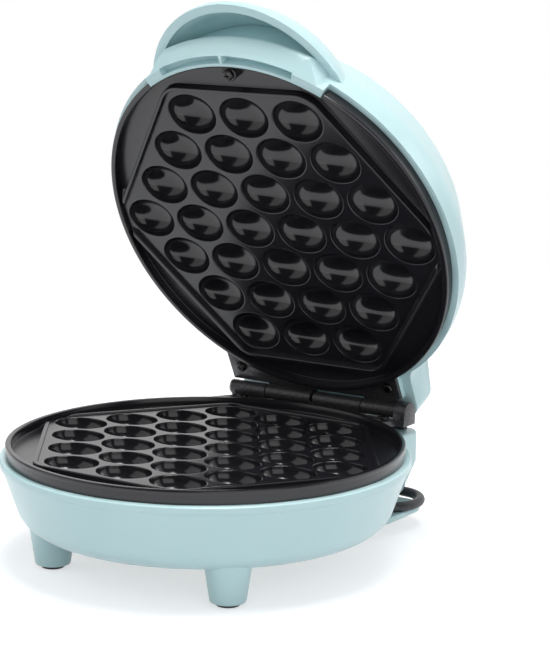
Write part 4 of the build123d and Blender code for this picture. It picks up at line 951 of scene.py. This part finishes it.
def screwHead():
    size = screwSizes
    radius, height, bend = size["headRadius"], size["headHeight"], size["headRound"]
    profile = [(0, 0), (radius - size["seatBevel"], 0), (radius, size["seatBevel"])]
    for k in range(size["roundSteps"] + 1):
        turn = math.radians(90 / size["roundSteps"] * k)
        profile.append((radius - bend + bend * math.cos(turn), height - bend + bend * math.sin(turn)))
    profile.append((0, height + size["crown"]))
    head = lathe(profile, size["sides"])

    # the cross recess is cut by a tapered cross
    long, wide, floor = size["crossLong"], size["crossWide"], height - size["crossDeep"]
    plan = [(wide, wide), (wide, long), (-wide, long), (-wide, wide), (-long, wide), (-long, -wide)]
    plan += [(-wide, -wide), (-wide, -long), (wide, -long), (wide, -wide), (long, -wide), (long, wide)]
    cross = bpy.data.meshes.new("cross")
    count, taper, top = len(plan), size["crossTaper"], height + size["crossClear"]
    corners = [(x * taper, y * taper, floor) for x, y in plan] + [(x, y, top) for x, y in plan]
    walls = [(k, (k + 1) % count, (k + 1) % count + count, k + count) for k in range(count)]
    cross.from_pydata(corners, [], walls + [tuple(range(count))[::-1], tuple(range(count, 2 * count))])
    cutter = newObject("cutter", cross)
    made = settled(head, ("BOOLEAN", dict(operation="DIFFERENCE", solver="EXACT", object=cutter)))
    bpy.data.objects.remove(cutter)
    return made


def makeScrews():
    tree, head = screwTree(), screwHead()
    corners = [tuple(vertex.co) for vertex in head.vertices]
    faces = [tuple(face.vertices) for face in head.polygons]
    for node, made in screwSets.items():
        flip = 1 if made["headUp"] else -1
        start = bpy.data.meshes.new("screwStart")
        start.from_pydata(corners + [(x, y * flip, 0) for x, y in made["places"]], [], faces)
        values = {"Core Radius": screwSizes["coreRadius"], "Length": made["length"]}
        mesh = runTree(tree, start, made["look"], values)
        turn = Matrix.Rotation(0 if made["headUp"] else math.pi, 4, "X")
        mesh.transform(made["on"] @ Matrix.Translation((0, 0, made["seat"])) @ turn)
        addPiece(camelName(node), mesh, made["look"], node, sharpAngle=screwSizes["sharpAngle"])


makeScrews()
print("screws are driven")


# mains cord: one and a half turns on the hub under the base, then the free end
flex = dict(
    diameter=5.3,
    length=0.55,
    hubLeft=-41.0,
    hubRight=20.0,
    loopRight=41.0,  # the outer turn hangs loose beyond the hub
    hubY=108.0,
    innerTurn=13.0,
    outerTurn=18.5,
    lane=13.85,
    exitX=-11.0,
    exitZ=15.0,
    entry=((-2, 14.9), (8, 14.2)),  # from the gland down to the lane
    backRun=(4, -14, -30),
    frontRun=(-14, 8, 28),
    loopRun=(28, 8, -14),
    widening=0.8,  # the left end swings out by this much as it changes lanes
    joining=(-34, 0.6),  # where it comes back to its lane, and how far outside it is there
    freeEnd=(
        (-32, 126.5, 13.85),
        (-53, 129.5, 17.2),
        (-75, 133, 14.0),
        (-93, 143, 6.5),
        (-101, 159, 2.8),
        (-97, 176, 2.8),
        (-83, 186, 3.4),
        (-65, 187, 6.6),
    ),
    stepsPerEnd=6,
    smoothness=8,
    roundness=6,
    order=3,
)


def hubEnd(centreX, startAngle, startRadius, endRadius):
    turn = 180 / flex["stepsPerEnd"]
    outside = 1 / math.cos(math.radians(turn / 2))  # a control point stands outside its arc
    points = []
    for k in range(flex["stepsPerEnd"]):
        share = (k + 0.5) / flex["stepsPerEnd"]
        radius = (startRadius + (endRadius - startRadius) * share) * outside
        angle = math.radians(startAngle + turn * (k + 0.5))
        x, y = centreX + radius * math.cos(angle), flex["hubY"] + radius * math.sin(angle)
        points.append((x, y, flex["lane"]))
    return points


def cordRoute():
    left, right, loop = flex["hubLeft"], flex["hubRight"], flex["loopRight"]
    hubY, lane = flex["hubY"], flex["lane"]
    inner, outer = flex["innerTurn"], flex["outerTurn"]
    near, far = hubY - inner, hubY + inner
    wideNear, wideFar = hubY - outer, hubY + outer
    joinX, joinOut = flex["joining"]
    route = [(flex["exitX"], near, flex["exitZ"])] + [(x, near, z) for x, z in flex["entry"]]
    route += hubEnd(right, -90, inner, inner)
    route += [(x, far, lane) for x in flex["backRun"]]
    route += hubEnd(left, 90, inner, outer + flex["widening"])
    route += [(joinX, wideNear - joinOut, lane)] + [(x, wideNear, lane) for x in flex["frontRun"]]
    route += hubEnd(loop, -90, outer, outer)
    route += [(x, wideFar, lane) for x in flex["loopRun"]]
    route += flex["freeEnd"]
    return [atPlate @ Vector(point) for point in route]


def makeCord():
    curve = bpy.data.curves.new("mainsCord", "CURVE")
    curve.dimensions = "3D"
    curve.resolution_u = flex["smoothness"]
    curve.bevel_depth = flex["diameter"] / 2000
    curve.bevel_resolution = flex["roundness"]
    curve.use_fill_caps = True
    route = cordRoute()
    line = curve.splines.new("NURBS")
    line.points.add(len(route) - 1)
    for point, place in zip(line.points, route):
        point.co = (*place, 1)
    line.order_u = flex["order"]
    line.use_endpoint_u = True
    curve.materials.append(looks["cordRubber"])
    cord = newObject("mainsCord", curve)
    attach(cord, "base")
    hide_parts("cord_coil", "power_cord")


makeCord()
print("cord is laid")

print("all pieces are in place")
